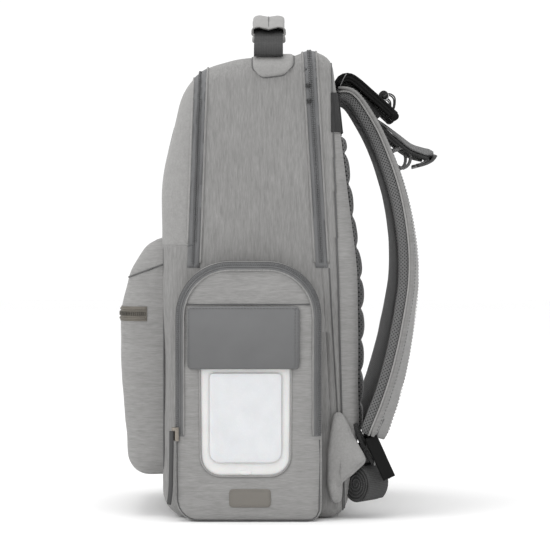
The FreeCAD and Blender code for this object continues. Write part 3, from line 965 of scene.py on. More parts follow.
def skin_part(name, planes, keep, depth, material, skin=None, lift=0.0, lining=None):
    """A region of a skin, lifted off it, with its thickness."""
    part = copy_of(skin or SKIN, name)
    if lift:
        grow(part, lift)
    wear(carve(part, planes, keep), material)
    thicken(part, depth, lining)
    return part


def hinge_blend(piece, slot, *nodes):
    """Hides the CAD nodes that a piece of the lid stands for and bakes its place into its mesh."""
    if nodes:
        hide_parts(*nodes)
    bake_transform(piece)


def body_parts():
    """The gusset, the opening front panel, the laptop section and the padded back."""
    foot = flat_plane("z", LID_FOOT)
    main = skin_part("main_body", [REAR_ZIP, FRONT_ZIP, foot],
                     lambda p: beyond(REAR_ZIP, p) < 0 and not in_lid(p), 3.0, UPRIGHT, lining=LINING)
    place_on("bag", "heather_fabric", main, "main_shell")
    lid = skin_part("lid", [FRONT_ZIP, foot], in_lid, 3.0, SMOOTH, lining=LINING)
    hinge_blend(lid, "heather_fabric", "front_lid")
    ends = [flat_plane("z", PANEL_LOW.z), flat_plane("z", PANEL_HIGH.z)]
    rear = skin_part("laptop_section", [REAR_ZIP, PANEL_SEAM] + ends,
                     lambda p: beyond(REAR_ZIP, p) > 0 and not in_panel(p), 3.0, UPRIGHT, lining=LINING)
    place_on("bag", "heather_fabric", rear, "rear_compartment")
    panel = skin_part("padded_back", [PANEL_SEAM] + ends, in_panel, 9.0, LEVEL, lining=LINING)
    place_on("bag", "heather_fabric", panel, "back_panel")


def seam(name, plane, lowest, radius, highest=NO_LIMIT, material=SEAM_THREAD, shift=0.0):
    """A cord of piping or a sewn line where a plane meets the body's skin."""
    path, normals = girdle(SKIN, shifted(plane, shift), lowest)
    pairs = [(p, n) for p, n in zip(path, normals) if p.z < highest]
    return cord(name, [p + n * SEAM_LIFT for p, n in pairs], radius, material)


def body_seams():
    """Welts along the long zips' tapes and the sewn line of the back panel."""
    out = ZIP_HALF + 0.6
    welts = [seam("welt", plane, ZIP_END, 1.1, material=UPRIGHT, shift=shift)
             for plane, shift in ((FRONT_ZIP, out), (REAR_ZIP, -out), (REAR_ZIP, out))]
    place_on("bag", "heather_fabric", join("zip_welts", welts))
    lid_welt = seam("lid_welt", FRONT_ZIP, LID_FOOT, 1.1, material=SMOOTH, shift=-out)
    hinge_blend(lid_welt, "heather_fabric")
    lines = [seam("panel_line", PANEL_SEAM, SEWN_FROM, 0.7, SEWN_TO),
             seam("rear_edge_line", REAR_ZIP, SEWN_FROM, 0.6, ZIP_END, shift=ZIP_HALF + 1)]
    place_on("bag", "zip_tape", join("panel_seams", lines))


def band_of(name, plane, low, high, z_low, z_high=NO_LIMIT):
    """A strip of zip tape along a plane, just proud of the body."""
    planes = [shifted(plane, low), shifted(plane, high), flat_plane("z", z_low), flat_plane("z", z_high)]
    return skin_part(name, planes, lambda p: low < beyond(plane, p) < high and z_low < p.z < z_high,
                     1.0, ZIP_TAPE, lift=0.6)


def teeth_of(name, plane, offset, lowest):
    """One row of a long zip's teeth."""
    path, normals = girdle(SKIN, plane, lowest)
    return wear(beads(name, path, normals, TOOTH_PITCH, (1.2, 2.3, 1.1), offset=offset, lift=1.1), ZIP_COIL)


def long_zips():
    """Tapes and teeth of both long zips. The front one parts between the bag and the lid."""
    bag_side = [
        band_of("tape_back", FRONT_ZIP, 0.2, ZIP_HALF, ZIP_END),
        band_of("tape_foot", FRONT_ZIP, -ZIP_HALF, 0.2, ZIP_END, LID_FOOT),
        teeth_of("teeth_back", FRONT_ZIP, 1.0, ZIP_END),
    ]
    place_on("bag", "zip_tape", join("main_zip_bag_side", bag_side), "main_zip_rear")
    lid_side = [
        band_of("tape_lid", FRONT_ZIP, -ZIP_HALF, -0.2, LID_FOOT),
        teeth_of("teeth_lid", FRONT_ZIP, -1.2, LID_FOOT),
    ]
    hinge_blend(join("main_zip_lid_side", lid_side), "zip_tape", "main_zip_front")
    rear = [
        band_of("tape_rear", REAR_ZIP, -ZIP_HALF, ZIP_HALF, ZIP_END),
        teeth_of("teeth_rear_a", REAR_ZIP, 1.0, ZIP_END),
        teeth_of("teeth_rear_b", REAR_ZIP, -1.2, ZIP_END),
    ]
    place_on("bag", "zip_tape", join("laptop_zip", rear), "rear_zip")


def front_badge():
    """A plain patch on the lid."""
    low, high = node_box("front_patch")
    planes, inside = region(x=(low.x, high.x), y=(None, -60), z=(low.z, high.z))
    badge = skin_part("lid_patch", planes, inside, 1.6, PATCH_SKIN, lift=1.6)
    place_on("lid", "patch", badge, "front_patch")


# ================================================================ quilted back
MESH_HALF = 96.0
MESH_SEAMS = [78.5 + 30.5 * i for i in range(10)] + [369.0]
MESH_PROUD = 4.2
CHANNEL = 13.0      # half the width of the channel down the spine


def pad_height(x, z):
    """How proud the quilting stands at a place on the back."""
    row = 0.0
    for low, high in zip(MESH_SEAMS, MESH_SEAMS[1:]):
        if low <= z <= high:
            u = 2 * (z - low) / (high - low) - 1
            row = max(0.0, 1 - abs(u) ** 2.4)
    v = (abs(x) - (MESH_HALF + CHANNEL) / 2) / ((MESH_HALF - CHANNEL) / 2)
    across = max(0.0, 1 - abs(v) ** 7)
    return row * across


def quilted_back():
    """Spacer mesh sewn down in rows over the padded back."""
    hit = surface_of(SKIN)
    low, height = MESH_SEAMS[0], MESH_SEAMS[-1] - MESH_SEAMS[0]

    def place_at(u, v):
        x, z = MESH_HALF * (2 * u - 1), low + height * v
        wobble = 0.4 * noise.noise(Vector((x / 14, z / 14, 3)))
        base = hit((x, 400, z), (0, -1, 0))[0].y + 1.2
        return Vector((x, base + (MESH_PROUD + wobble) * pad_height(x, z) ** 0.6, z))

    pads = grid("quilted_back", 64, int(height / 2), place_at, Vector((0, 1, 0)))
    wear(pads, MESH_BACK)
    thicken(pads, 2.6)
    soften(pads)
    place_on("bag", "mesh_fabric", pads, "back_mesh")


# ================================================================ front pocket
POCKET_BACK_Y = -81.0
POCKET_TOP_SEAM = (Vector((0, -84, 245)), Vector((0, -0.35, 0.94)).normalized())
POCKET_ZIP_END_Y = -100.0


def pocket_radius(outward):
    """Rounding of the front pocket's rims, wider at its face."""
    return 13 + 6 * max(0.0, -outward.x)


def front_pocket():
    """The bulging pocket on the front, with all that is sewn to it."""
    spine = ((-90, 70), (-90, 240))
    skin = soft_box("pocket_skin", FRONT_POCKET, POCKET_HALF, pocket_radius, spine, 1.5)
    rumple(skin, 1.3, 45, 5)
    rumple(skin, 0.6, 16, 6, (2, 2, 1))
    shell = skin_part("front_pocket_shell", *region(y=(None, POCKET_BACK_Y)), 2.4, LEVEL, skin, 0.0, LINING)
    place_on("bag", "heather_fabric", shell, "front_pocket")
    pocket_zipper(skin)
    pocket_seams(skin)
    pocket_label(skin)
    bpy.data.objects.remove(skin)


def pocket_zipper(skin):
    """The taupe zip round the pocket: its band, teeth and folded edges."""
    planes, inside = region(y=(None, POCKET_ZIP_END_Y), z=(POCKET_ZIP_LOW.z, POCKET_ZIP_HIGH.z))
    parts = [skin_part("pocket_band", planes, inside, 1.0, TAUPE_TAPE, skin, 0.7)]
    zip_mid = (POCKET_ZIP_LOW.z + POCKET_ZIP_HIGH.z) / 2

    def at_height(z):
        return ring_at(skin, flat_plane("z", z), lambda p: p.y < POCKET_ZIP_END_Y)

    path, normals = at_height(zip_mid)
    teeth = beads("pocket_teeth", path, normals, TOOTH_PITCH, (1.2, 4.2, 1.2), lift=1.2)
    parts.append(wear(teeth, TAUPE_COIL))
    for side in (-1, 1):
        path, normals = at_height(zip_mid + side * 4.6)
        parts.append(cord("pocket_fold", lifted(path, normals, 0.9), 0.8, TAUPE_TAPE))
    place_on("bag", "taupe_tape", join("front_pocket_zipper", parts), "front_pocket_zip")


def pocket_seams(skin):
    """Sewn lines across the pocket's top and down both its sides."""
    lines = []
    path, normals = ring_at(skin, POCKET_TOP_SEAM, lambda p: p.y < POCKET_BACK_Y + 1)
    lines.append(cord("top_line", lifted(path, normals, 0.2), 0.9, SEAM_THREAD))
    for side in (-1, 1):
        path, normals = ring_at(skin, flat_plane("y", POCKET_BACK_Y - 2.5), lambda p, s=side: s * p.x > 60)
        lines.append(cord("side_line", lifted(path, normals, 0.3), 0.9, SEAM_THREAD))
    place_on("bag", "zip_tape", join("front_pocket_seams", lines))


def pocket_label(skin):
    """A plain label low on the pocket's face."""
    low, high = node_box("front_label")
    planes, inside = region(x=(low.x, high.x), y=(None, -110), z=(low.z, high.z))
    label = skin_part("pocket_label", planes, inside, 1.2, PATCH_SKIN, skin, 1.2)
    place_on("bag", "patch", label, "front_label")


def ring_at(skin, plane, accept):
    """The stretch of a skin's section that accept() allows, from end to end."""
    path, normals = girdle(skin, plane, -999.0)
    kept = [accept(p) for p in path]
    count = len(path)
    if all(kept):
        return path + path[:1], normals + normals[:1]
    first = next(i for i in range(count) if kept[i] and not kept[i - 1])
    order = []
    for k in range(count):
        i = (first + k) % count
        if not kept[i]:
            break
        order.append(i)
    return [path[i] for i in order], [normals[i] for i in order]


# ================================================================ side pockets
SIDE_CENTRE = Vector(((CASE_LOW.y + CASE_HIGH.y) / 2, (CASE_LOW.z + CASE_HIGH.z) / 2))
SIDE_RIM = 9.0
CASE_CORNERS = [
    (CASE_LOW.y + 1.5, CASE_LOW.z, 19), (CASE_LOW.y, CASE_HIGH.z, 8),
    (CASE_HIGH.y, CASE_HIGH.z, 8), (CASE_HIGH.y - 1.5, CASE_LOW.z, 19),
]
LID_CORNERS = [
    (CASE_LID_LOW.y, CASE_LID_LOW.z, 10), (CASE_LID_LOW.y, CASE_LID_HIGH.z, 3),
    (CASE_LID_HIGH.y, CASE_LID_HIGH.z, 3), (CASE_LID_HIGH.y, CASE_LID_LOW.z, 10),
]
SIDE_ZIP_FOOT = 82.0
PULL_TAIL = 14.0
SIDE_CROWN = 0.9


def drawn_in(corners, inset, x):
    """A side pocket's, case's or lid's outline, drawn in by a distance, at one x."""
    return at_x(ray_ring(shrunk(corners, inset), SIDE_CENTRE), x)


def side_ring(inset, x):
    """The side pocket's outline, drawn in by a distance, at one x."""
    return drawn_in(SIDE_POCKET, inset, x)


def rim_ring(degrees, lift=0.0):
    """A ring on the pocket's rounded edge: 0 degrees on its wall, 90 on its face."""
    angle = math.radians(degrees)
    radius = SIDE_RIM + lift
    return side_ring(SIDE_RIM - radius * math.cos(angle), SIDE_FACE - SIDE_RIM + radius * math.sin(angle))


def side_pocket_skin(name, hole=None):
    """A side pocket's walls, rounded edge and face on the right side, open round a hole."""
    rings = [side_ring(0, HALF_WIDTH + 26 * share - 3) for share in (0, 0.15, 0.3, 0.45, 0.6)]
    rings += [rim_ring(degrees) for degrees in range(0, 91, 15)]
    last = [Vector((p.y, p.z)) for p in rings[-1]]
    inner = ray_ring(hole, SIDE_CENTRE) if hole else [SIDE_CENTRE] * len(last)
    steps = 8 if hole else 16
    for k in range(1, steps + 1):
        share = k / steps
        lift = SIDE_CROWN * math.sin(math.pi * share) if hole else SIDE_CROWN * (1 - (1 - share) ** 2)
        rings.append([Vector((SIDE_FACE + lift, *p.lerp(q, share))) for p, q in zip(last, inner)])
    return loft(name, rings)


def side_band(name, lift):
    """The zip's tape on the pocket's rounded edge, over the arch and down both legs."""
    band = loft(name, [rim_ring(degrees, lift) for degrees in (12, 24, 36, 48, 60, 72, 84)])
    carve(band, *region(z=(SIDE_ZIP_FOOT, None)))
    thicken(band, 0.9)
    return wear(band, ZIP_TAPE)


def rim_path(degrees, lift, lowest=SIDE_ZIP_FOOT):
    """A line on the pocket's rounded edge above a height, with its outward directions."""
    low, high = rim_ring(degrees), rim_ring(degrees, 1.0)
    pairs = [(p + (q - p) * lift, (q - p).normalized()) for p, q in zip(low, high)]
    kept = [pair for pair in pairs if pair[0].z > lowest]
    return [p for p, n in kept], [n for p, n in kept]


def side_zip():
    """The arched zip: tape, teeth, folded edges and sewn ridges."""
    parts = [side_band("side_tape", 0.8)]
    path, normals = rim_path(46, 0.9)
    teeth = beads("side_teeth", path, normals, TOOTH_PITCH, (1.2, 4.0, 1.2), lift=0.4)
    parts.append(wear(teeth, ZIP_COIL))
    for degrees in (14, 84):
        path, _ = rim_path(degrees, 0.8)
        parts.append(cord("side_fold", path, 0.9, UPRIGHT))
    for degrees in (28, 66):
        path, _ = rim_path(degrees, 0.9)
        parts.append(cord("side_ridge", path, 0.5, SEAM_THREAD, 6))
    return join("wipes_zip", parts)


def off_floor(points, radius):
    """The same line, lifted where a cord along it would dip under the floor."""
    return [Vector((p.x, p.y, max(p.z, radius + 0.2))) for p in points]


def slack_side(skin, seed, hole):
    """Uneven cloth on a side pocket, still where it is sewn, framed or standing."""
    def change(p, n):
        if p.x < HALF_WIDTH + 6:
            return Vector((0, 0, 0))
        near_hole = 0.35 if hole and abs(p.y - SIDE_CENTRE.x) < 52 and abs(p.z - SIDE_CENTRE.y) < 88 else 1.0
        near_floor = min(1.0, max(0.0, (p.z - 1) / 18))
        swell = noise.noise(Vector((seed, p.y / 42, p.z / 48)))
        swell += 0.35 * noise.noise(Vector((seed, p.y / 15, p.z / 11)))
        return n * 1.3 * swell * near_hole * near_floor
    move_points(skin, change)
    stand(skin)


def wipes_side():
    """The wipes pocket's shell and zip. It returns the x of its face at a place (y, z)."""
    hole = shrunk(CASE_CORNERS, -0.9)
    skin = side_pocket_skin("wipes_pocket_shell", hole)
    slack_side(skin, 2.7, True)
    wear(skin, LEVEL)
    face = side_face(skin)
    thicken(skin, 2.2, LINING)
    place_on("bag", "heather_fabric", skin, "wipes_pocket")
    place_on("bag", "zip_tape", side_zip(), "wipes_pocket_zip")
    wipes_trims(hole)
    return face


def wipes_trims(hole):
    """The wipes pocket's piping, its window's edge and its sewn lines."""
    window = at_x(ray_ring(hole, SIDE_CENTRE), SIDE_FACE + 0.1)
    trims = [cord("window_edge", window, 0.9, SMOOTH, closed=True)]
    path, _ = rim_path(4, 0.5, -5)
    trims.append(cord("edge_cord", off_floor(path, 1.2), 1.2, LEVEL, closed=True))
    root = side_ring(-0.4, HALF_WIDTH + 2.2)
    trims.append(cord("root_cord", off_floor(root, 1.1), 1.1, SEAM_THREAD, closed=True))
    y0, y1 = FLAP_LOW.y - 1, FLAP_HIGH.y + 9
    top = [Vector((SIDE_FACE + 0.5, y0 + (y1 - y0) * k / 24, FLAP_HIGH.z + 1.6)) for k in range(25)]
    trims.append(cord("flap_seam", top, 0.8, SEAM_THREAD))
    ring = rim_ring(38, 0.2)
    half = RING_PLACES // 2
    foot = [p for p in ring[half:] + ring[:half] if p.z < SIDE_ZIP_FOOT - 3]
    trims.append(cord("foot_seam", off_floor(foot, 0.6), 0.6, SEAM_THREAD, 6))
    place_on("bag", "heather_fabric", join("wipes_pocket_trim", trims))


def side_pull():
    """The long tab that hangs from the side pocket's slider, lying against its rounded edge."""
    low, high = node_box("wipes_pull")
    x, y = (low.x + high.x) / 2, (low.y + high.y) / 2
    line = [(y, high.z), (y - 0.3, high.z - 30), (y - 1.0, low.z), (y - 2.6, low.z - PULL_TAIL)]
    tab = band("pocket_tab", line, x, 5.5, 1.9, 0, PULL_SKIN, 5.0, tilt=(-40, -40))
    place_on("side_pull", "patch", tab, "wipes_pull")


def wipes_box():
    """The hard case behind the window: an open tray with a rounded face and a mouth."""
    back, face = CASE_LOW.x, CASE_HIGH.x
    outside = [(4, back), (1.2, back + 0.6), (0, back + 2.5), (0, face - 3.5), (0.5, face - 1.5),
               (1.6, face - 0.3), (3.2, face), (6.2, face)]
    mouth = [(0, face - 0.05), (0.3, face - 0.2), (4.0, face - 0.6), (4.2, face - 1.8)]
    inside = [(1.8, face - 1.9), (1.8, back + 2.4), (2.4, back + 1.8)]
    rings = [drawn_in(CASE_CORNERS, inset, x) for inset, x in outside]
    rings += [drawn_in(LID_CORNERS, inset, x) for inset, x in mouth]
    rings += [drawn_in(CASE_CORNERS, inset, x) for inset, x in inside]
    case = wear(loft("wipes_box", rings, caps=(True, True)), WHITE_RIM)
    place_on("bag", "white_plastic", case, "wipes_case")


def wipes_lid():
    """The case's lid: a shallow plate, a little hollow towards its middle."""
    low, high = CASE_LID_LOW.x, CASE_LID_HIGH.x
    levels = [(1, low), (0.2, low + 0.3), (0.1, low + 0.9), (0.1, high - 0.05), (0.2, high), (4.0, high),
              (6.0, high - 0.1), (8.0, high - 0.25), (10, high - 0.3), (18, high - 0.25), (28, high - 0.2)]
    rings = [drawn_in(LID_CORNERS, inset, x) for inset, x in levels]
    lid = loft("wipes_box_lid", rings, caps=(True, True))
    wear(lid, WHITE_PLASTIC)
    place_on("case_lid", "white_plastic", lid, "wipes_case_lid")


def thumb_catch():
    """The low bump below the lid, where a thumb opens it."""
    catch = bpy.data.meshes.new("thumb_catch")
    bm = bmesh.new()
    bmesh.ops.create_uvsphere(bm, u_segments=24, v_segments=12, radius=1.0)
    spot = Vector((CASE_HIGH.x - 0.1, SIDE_CENTRE.x, CASE_LOW.z + 4.2))
    size = Vector((0.9, 6.5, 2.6))
    bm.transform(Matrix.LocRotScale(spot * MM, None, size * MM))
    bm.to_mesh(catch)
    bm.free()
    catch.shade_smooth()
    place_on("bag", "white_plastic", wear(linked("thumb_catch", catch), WHITE_RIM))


def close_back(obj):
    """Fills the open back of a plate."""
    with edited(obj) as bm:
        rim = [e for e in bm.edges if e.is_boundary]
        bmesh.ops.holes_fill(bm, edges=rim)
        bmesh.ops.recalc_face_normals(bm, faces=bm.faces)


def cloth_patch(name, low, high, x_at, thick, corner, material, step):
    """A flat sewn piece facing +X: a grid between two corners (y, z), x_at gives its face."""
    columns = max(4, round((high[0] - low[0]) / step))
    rows = max(3, round((high[1] - low[1]) / step))

    def place_at(u, v):
        y = low[0] + (high[0] - low[0]) * u
        z = low[1] + (high[1] - low[1]) * v
        sy, sz = min(y - low[0], high[0] - y), min(z - low[1], high[1] - z)
        cut = max(0.0, corner - sy - sz) / 2
        y += cut if u < 0.5 else -cut
        z += cut if v < 0.5 else -cut
        return Vector((x_at(y, z), y, z))

    patch = grid(name, columns, rows, place_at, Vector((1, 0, 0)))
    thicken(patch, thick)
    soften(patch)
    return wear(patch, material)


def stitch_row(name, start, end, x_at, lift, pitch, material):
    """A row of stitches on a face that looks towards +X, between two (y, z) places."""
    a, b = Vector(start), Vector(end)
    count = 16
    flat = [a.lerp(b, k / count) for k in range(count + 1)]
    path = [Vector((x_at(p.x, p.y), p.x, p.y)) for p in flat]
    row = beads(name, path, [Vector((1, 0, 0))] * len(path), pitch, (1.9, 0.55, 0.5), lift=lift)
    return wear(row, material)


def flap_face(y, z):
    """The flap's outer face: slack in its middle, lying closer along its seam."""
    u = (y - FLAP_LOW.y) / (FLAP_HIGH.y - FLAP_LOW.y)
    v = (z - FLAP_LOW.z) / (FLAP_HIGH.z - FLAP_LOW.z)
    swell = math.sin(math.pi * u) ** 0.6 * (0.9 - 0.6 * v)
    ripple = 0.35 * noise.noise(Vector((y / 24, z / 17, 1.5)))
    return FLAP_HIGH.x + 0.2 + swell + ripple


def flap():
    """The coated flap over the top of the window, hemmed at its rear edge."""
    cloth = cloth_patch("window_flap", (FLAP_LOW.y, FLAP_LOW.z), (FLAP_HIGH.y, FLAP_HIGH.z),
                        flap_face, 2.0, 2.0, FLAP_SKIN, 4.0)
    place_on("flap", "smooth_flap", cloth, "wipes_flap")
    z0, z1 = FLAP_LOW.z + 2, FLAP_HIGH.z - 2
    near, hem = FLAP_LOW.y, FLAP_HIGH.y
    lines = [((y, z0), (y, z1)) for y in (hem - 1.6, hem - 4.6, near + 1.8)]
    lines.append(((near + 2, z1), (hem - 2, z1)))
    rows = [stitch_row("flap_row", start, end, flap_face, 0.25, 3.0, SEAM_THREAD) for start, end in lines]
    place_on("flap", "smooth_flap", join("flap_stitching", rows))


def side_label(pocket_face):
    """The small taupe label below the window, sewn round its edge."""
    low, high = node_box("wipes_label")

    def face(y, z):
        return pocket_face(y, z) + 1.0

    label = cloth_patch("window_label", (low.y, low.z), (high.y, high.z), face, 1.2, 2.0, LABEL_SKIN, 3.0)
    place_on("bag", "taupe_label", label, "wipes_label")
    corners = [(low.y + 1.8, low.z + 1.8), (high.y - 1.8, low.z + 1.8), (high.y - 1.8, high.z - 1.8),
               (low.y + 1.8, high.z - 1.8)]
    rows = [stitch_row("label_row", corners[i - 1], corners[i], face, 0.1, 2.6, LABEL_SKIN) for i in range(4)]
    place_on("bag", "taupe_label", join("label_stitching", rows))


def bottle_side():
    """The open pocket on the left, cut off level."""
    skin = side_pocket_skin("bottle_skin")
    slack_side(skin, 6.1, False)
    carve(skin, *region(z=(None, HEM_LOW.z + 1)))
    shell = mirror_of(wear(skin, LEVEL), "bottle_pocket_shell")
    bpy.data.objects.remove(skin)
    thicken(shell, 2.4, LINING)
    place_on("bag", "heather_fabric", shell, "bottle_pocket")


def bottle_hem():
    """The elastic hem round the bottle pocket's mouth, gathered in small folds."""
    line = [(SIDE_LOW.y, HALF_WIDTH + 1), (SIDE_LOW.y, SIDE_FACE + 0.5),
            (SIDE_HIGH.y, SIDE_FACE + 0.5), (SIDE_HIGH.y, HALF_WIDTH + 1)]
    lengths = [25.5, SIDE_HIGH.y - SIDE_LOW.y, 25.5]
    steps = 60
    path = []
    for k in range(steps + 1):
        s = sum(lengths) * k / steps
        leg = 0
        while leg < 2 and s > lengths[leg]:
            s -= lengths[leg]
            leg += 1
        path.append(Vector(line[leg]).lerp(Vector(line[leg + 1]), min(1.0, s / lengths[leg])))
    middle = (HEM_LOW.z + HEM_HIGH.z) / 2
    places = [Vector((-p.y, p.x, middle)) for p in evened(path, 6)]
    hem = sweep("bottle_hem", places, [Vector((0, 0, 1))] * len(places), section_points(9.0, 3.4, 4.0))
    move_points(hem, lambda p, n: n * 0.35 * math.sin(p.y * 1.7) * math.cos(p.x * 1.7))
    wear(hem, GREY_WEBBING)
    place_on("bag", "zip_tape", hem, "bottle_pocket_hem")


def handle_webbing():
    """The strap that arches over the top, bending where it leaves the body."""
    half = [(127.5, 445), (123, 450.5), (112, 455.5), (95, 459.5), (78, 464.5)] + [
        (x, grip_mid(x) - 1.0) for x in (60, 40, 20, 0)]
    line = [(-x, z) for x, z in half] + [(x, z) for x, z in reversed(half[:-1])]
    flat = smooth_path(line, 4.0)
    path = [Vector((p.x, HANDLE_Y, p.y)) for p in flat]
    strap = sweep("carry_webbing", path, [Vector((0, 1, 0))] * len(path), section_points(28, 2.6, 9))
    wear(strap, DARK_WEBBING)
    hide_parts("handle_webbing")
    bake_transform(strap)


def grip_mid(x):
    """The middle of the wrap: it slopes down towards its open ends."""
    half = GRIP_HIGH.x
    return GRIP_HIGH.z + 2.5 - 16.5 * (abs(x) / half) ** 2


def grip_ring(x, cuff):
    """One section of the soft wrap. cuff is 0 along it and 1 at an open end."""
    ring = []
    count = 48
    half_y, half_z = 15.6 + 0.8 * cuff, 5.6 + 0.5 * cuff
    for k in range(count):
        a = 2 * math.pi * k / count
        c, s = math.cos(a), math.sin(a)
        y = math.copysign(abs(c) ** 0.28, c) * half_y
        z = math.copysign(abs(s) ** 0.6, s) * half_z
        if s > 0.2:
            z -= 1.1 * math.exp(-(y / 1.5) ** 2)
            z += 0.4 * math.exp(-((abs(y) - 8) / 4.5) ** 2)
        else:
            z *= 1 - 0.6 * cuff
        tongue = 3.0 * cuff * math.exp(-(y / 4.5) ** 2) if s > 0 else 0.0
        ring.append(Vector((x + math.copysign(tongue, x), HANDLE_Y + y, grip_mid(x) + z - 0.35 * tongue)))
    return ring


def grip():
    """The soft wrap round the middle of the handle, seamed along its top, with open ends."""
    half = GRIP_HIGH.x - 2.0
    rings = []
    stations = 36
    for k in range(stations + 1):
        u = 2 * k / stations - 1
        cuff = max(0.0, abs(u) - 0.75) / 0.25
        rings.append(grip_ring(u * half, cuff ** 2))
    outside = loft("grip", rings)
    rumple(outside, 0.5, 13, 12)
    wear(outside, SMOOTH)
    thicken(outside, 1.2, LINING)
    place_on("handle", "heather_fabric", outside, "handle_grip")
    seams = [cord("cuff", grip_ring(x, 1.0), 0.8, SMOOTH, closed=True) for x in (-half, half)]
    top = [Vector((x, HANDLE_Y, grip_mid(x) + 4.6)) for x in range(-int(half), int(half) + 1, 4)]
    seams.append(cord("grip_seam", top, 0.5, SEAM_THREAD, 6))
    place_on("handle", "heather_fabric", join("grip_cuffs", seams))


PATCH_FRONT, PATCH_REAR = 2.0, 42.0
PATCH_EYE = (98.0, 422.0)       # the x and z that the patch's rays leave from


def end_patch():
    """The padded patch over a handle end: a rounded form laid over the top edge of a side."""
    hit = surface_of(SKIN)
    cells = 26

    def place_at(u, v):
        u, v = 2 * u - 1, 2 * v - 1
        round_u = u * math.sqrt(1 - 0.5 * abs(v) ** 6)
        round_v = v * math.sqrt(1 - 0.5 * abs(u) ** 6)
        y = (PATCH_FRONT + PATCH_REAR) / 2 + round_u * (PATCH_REAR - PATCH_FRONT) / 2
        lowest = 1 + 9 * (y - PATCH_FRONT) / (PATCH_REAR - PATCH_FRONT)
        angle = math.radians(lowest + (78 - lowest) * (round_v + 1) / 2)
        ray = Vector((math.cos(angle), 0, math.sin(angle)))
        place, _ = hit(Vector((PATCH_EYE[0], y, PATCH_EYE[1])) + ray * 200, -ray)
        pad = 3.2 * max(0.0, 1 - max(abs(u), abs(v)) ** 8) ** 0.5 + 0.2
        return place + ray * pad

    there = [k / cells for k in range(cells)]
    back = [1 - t for t in there]
    border = [(t, 0) for t in there] + [(1, t) for t in there]
    border += [(t, 1) for t in back] + [(0, t) for t in back]
    outline_seam = cord("patch_seam", [place_at(u, v) for u, v in border], 0.75, SEAM_THREAD, closed=True)
    patch = grid("handle_patch", cells, cells, place_at, Vector((1, 0, 0.4)))
    wear(patch, SMOOTH)
    thicken(patch, 1.6)
    return join("handle_patch", [patch, outline_seam])


def handle_patches():
    """The sewn patches at both ends of the carry handle."""
    right = end_patch()
    left = mirror_of(right, "handle_patch_left")
    pair = join("handle_patches", [right, left])
    place_on("bag", "heather_fabric", pair, "handle_anchors")


# ================================================================ shoulder straps
STRAP_WIDTH = 58.0
YOKE_SEAM_Y = 78.0
STRAP_TILT = 16.0       # how far a strap's face turns outwards at its lower end, in degrees


def strap_line():
    """The right strap's middle line and its width direction at each place."""
    flat = smooth_path(SHOULDER, 5.0)
    path = evened([Vector((spread_x(p.y), p.x, p.y)) for p in flat], 8)
    total = len(path) - 1
    sides = []
    for i in range(len(path)):
        turn = math.radians(2 + STRAP_TILT * (i / total) ** 2)
        sides.append(Vector((math.cos(turn), -math.sin(turn), 0)))
    return path, sides


def taper(u):
    """A strap's width and thickness, narrower at its sewn ends."""
    foot = min(1.0, (1 - u) / 0.04 + 0.3)
    head = min(1.0, u / 0.05)
    width = 0.72 + 0.28 * math.sin(math.pi / 2 * foot)
    thick = 0.55 + 0.45 * min(math.sin(math.pi / 2 * foot), math.sin(math.pi / 2 * head))
    return width, thick


def strap_offset(path, sides, u, v):
    """A line that runs beside a strap's middle, u across and v outwards, with its outward directions."""
    line, normals = [], []
    for i, place in enumerate(path):
        side, up = strap_axes(path, sides, i)
        width, thick = taper(i / (len(path) - 1))
        line.append(place + side * u * width + up * v * thick)
        normals.append(up)
    return line, normals


def strap_trim(path, sides):
    """The right strap's bindings and its two rows of stitches."""
    edge = STRAP_WIDTH / 2
    trims = []
    for s in (-1, 1):
        line, _ = strap_offset(path, sides, s * (edge - 0.4), 3.2)
        trims.append(cord("binding", line, 1.0, SMOOTH))
    for s in (-1, 1):
        line, normals = strap_offset(path, sides, s * (edge - 5.0), 8.5)
        trims.append(wear(beads("strap_row", line, normals, 3.4, (2.1, 0.6, 0.5)), SEAM_THREAD))
    return join("shoulder_trim_right", trims)


def shoulder_straps():
    """Both padded straps: a cloth cover outside, a mesh side inside, and their trim."""
    path, sides = strap_line()
    outer = section_points(STRAP_WIDTH, 5.6, 4.0, 40)
    cover = sweep("shoulder_cover_right", path, sides, outer, taper, 5.6)
    rumple(cover, 0.5, 18, 21)
    wear(cover, COVER)
    inner = section_points(STRAP_WIDTH - 1.0, 11.5, 6.0, 40)
    pad = sweep("shoulder_mesh_right", path, sides, inner, taper, -2.3)
    rumple(pad, 0.4, 20, 22)
    wear(pad, MESH_STRAP)
    trim = strap_trim(path, sides)
    for piece, base, slot in ((cover, "shoulder_strap", "heather_fabric"), (pad, "strap_mesh", "mesh_fabric"),
                              (trim, None, "heather_fabric")):
        twin = mirror_of(piece, piece.name.replace("right", "left"))
        for made, side in ((piece, "right"), (twin, "left")):
            nodes = [f"{base}_{side}"] if base else []
            place_on("bag", slot, made, *nodes)


def band(name, points, x, width, thick, lift, material, power=8.0, tilt=(0, 0)):
    """A flat strap along y and z points at one x. tilt is its turn about the path at both ends."""
    path = at_x(smooth_path(points, 3.0), x)
    total = len(path) - 1
    sides = []
    for i in range(len(path)):
        along = heading(path, i)
        turn = math.radians(tilt[0] + (tilt[1] - tilt[0]) * i / total)
        across = Vector((1, 0, 0))
        sides.append(across * math.cos(turn) - across.cross(along) * math.sin(turn))
    strap = sweep(name, path, sides, section_points(width, thick, power, 32), lift=lift)
    return wear(strap, material)


def pair_up(make, name, slot, body, base):
    """Makes a right-hand piece and its mirror image, and lets both ride."""
    right = make(name + "_right")
    left = mirror_of(right, name + "_left")
    for piece, side in ((right, "right"), (left, "left")):
        on = body if body == "bag" else f"{body}_{side}"
        place_on(on, slot, piece, f"{base}_{side}")


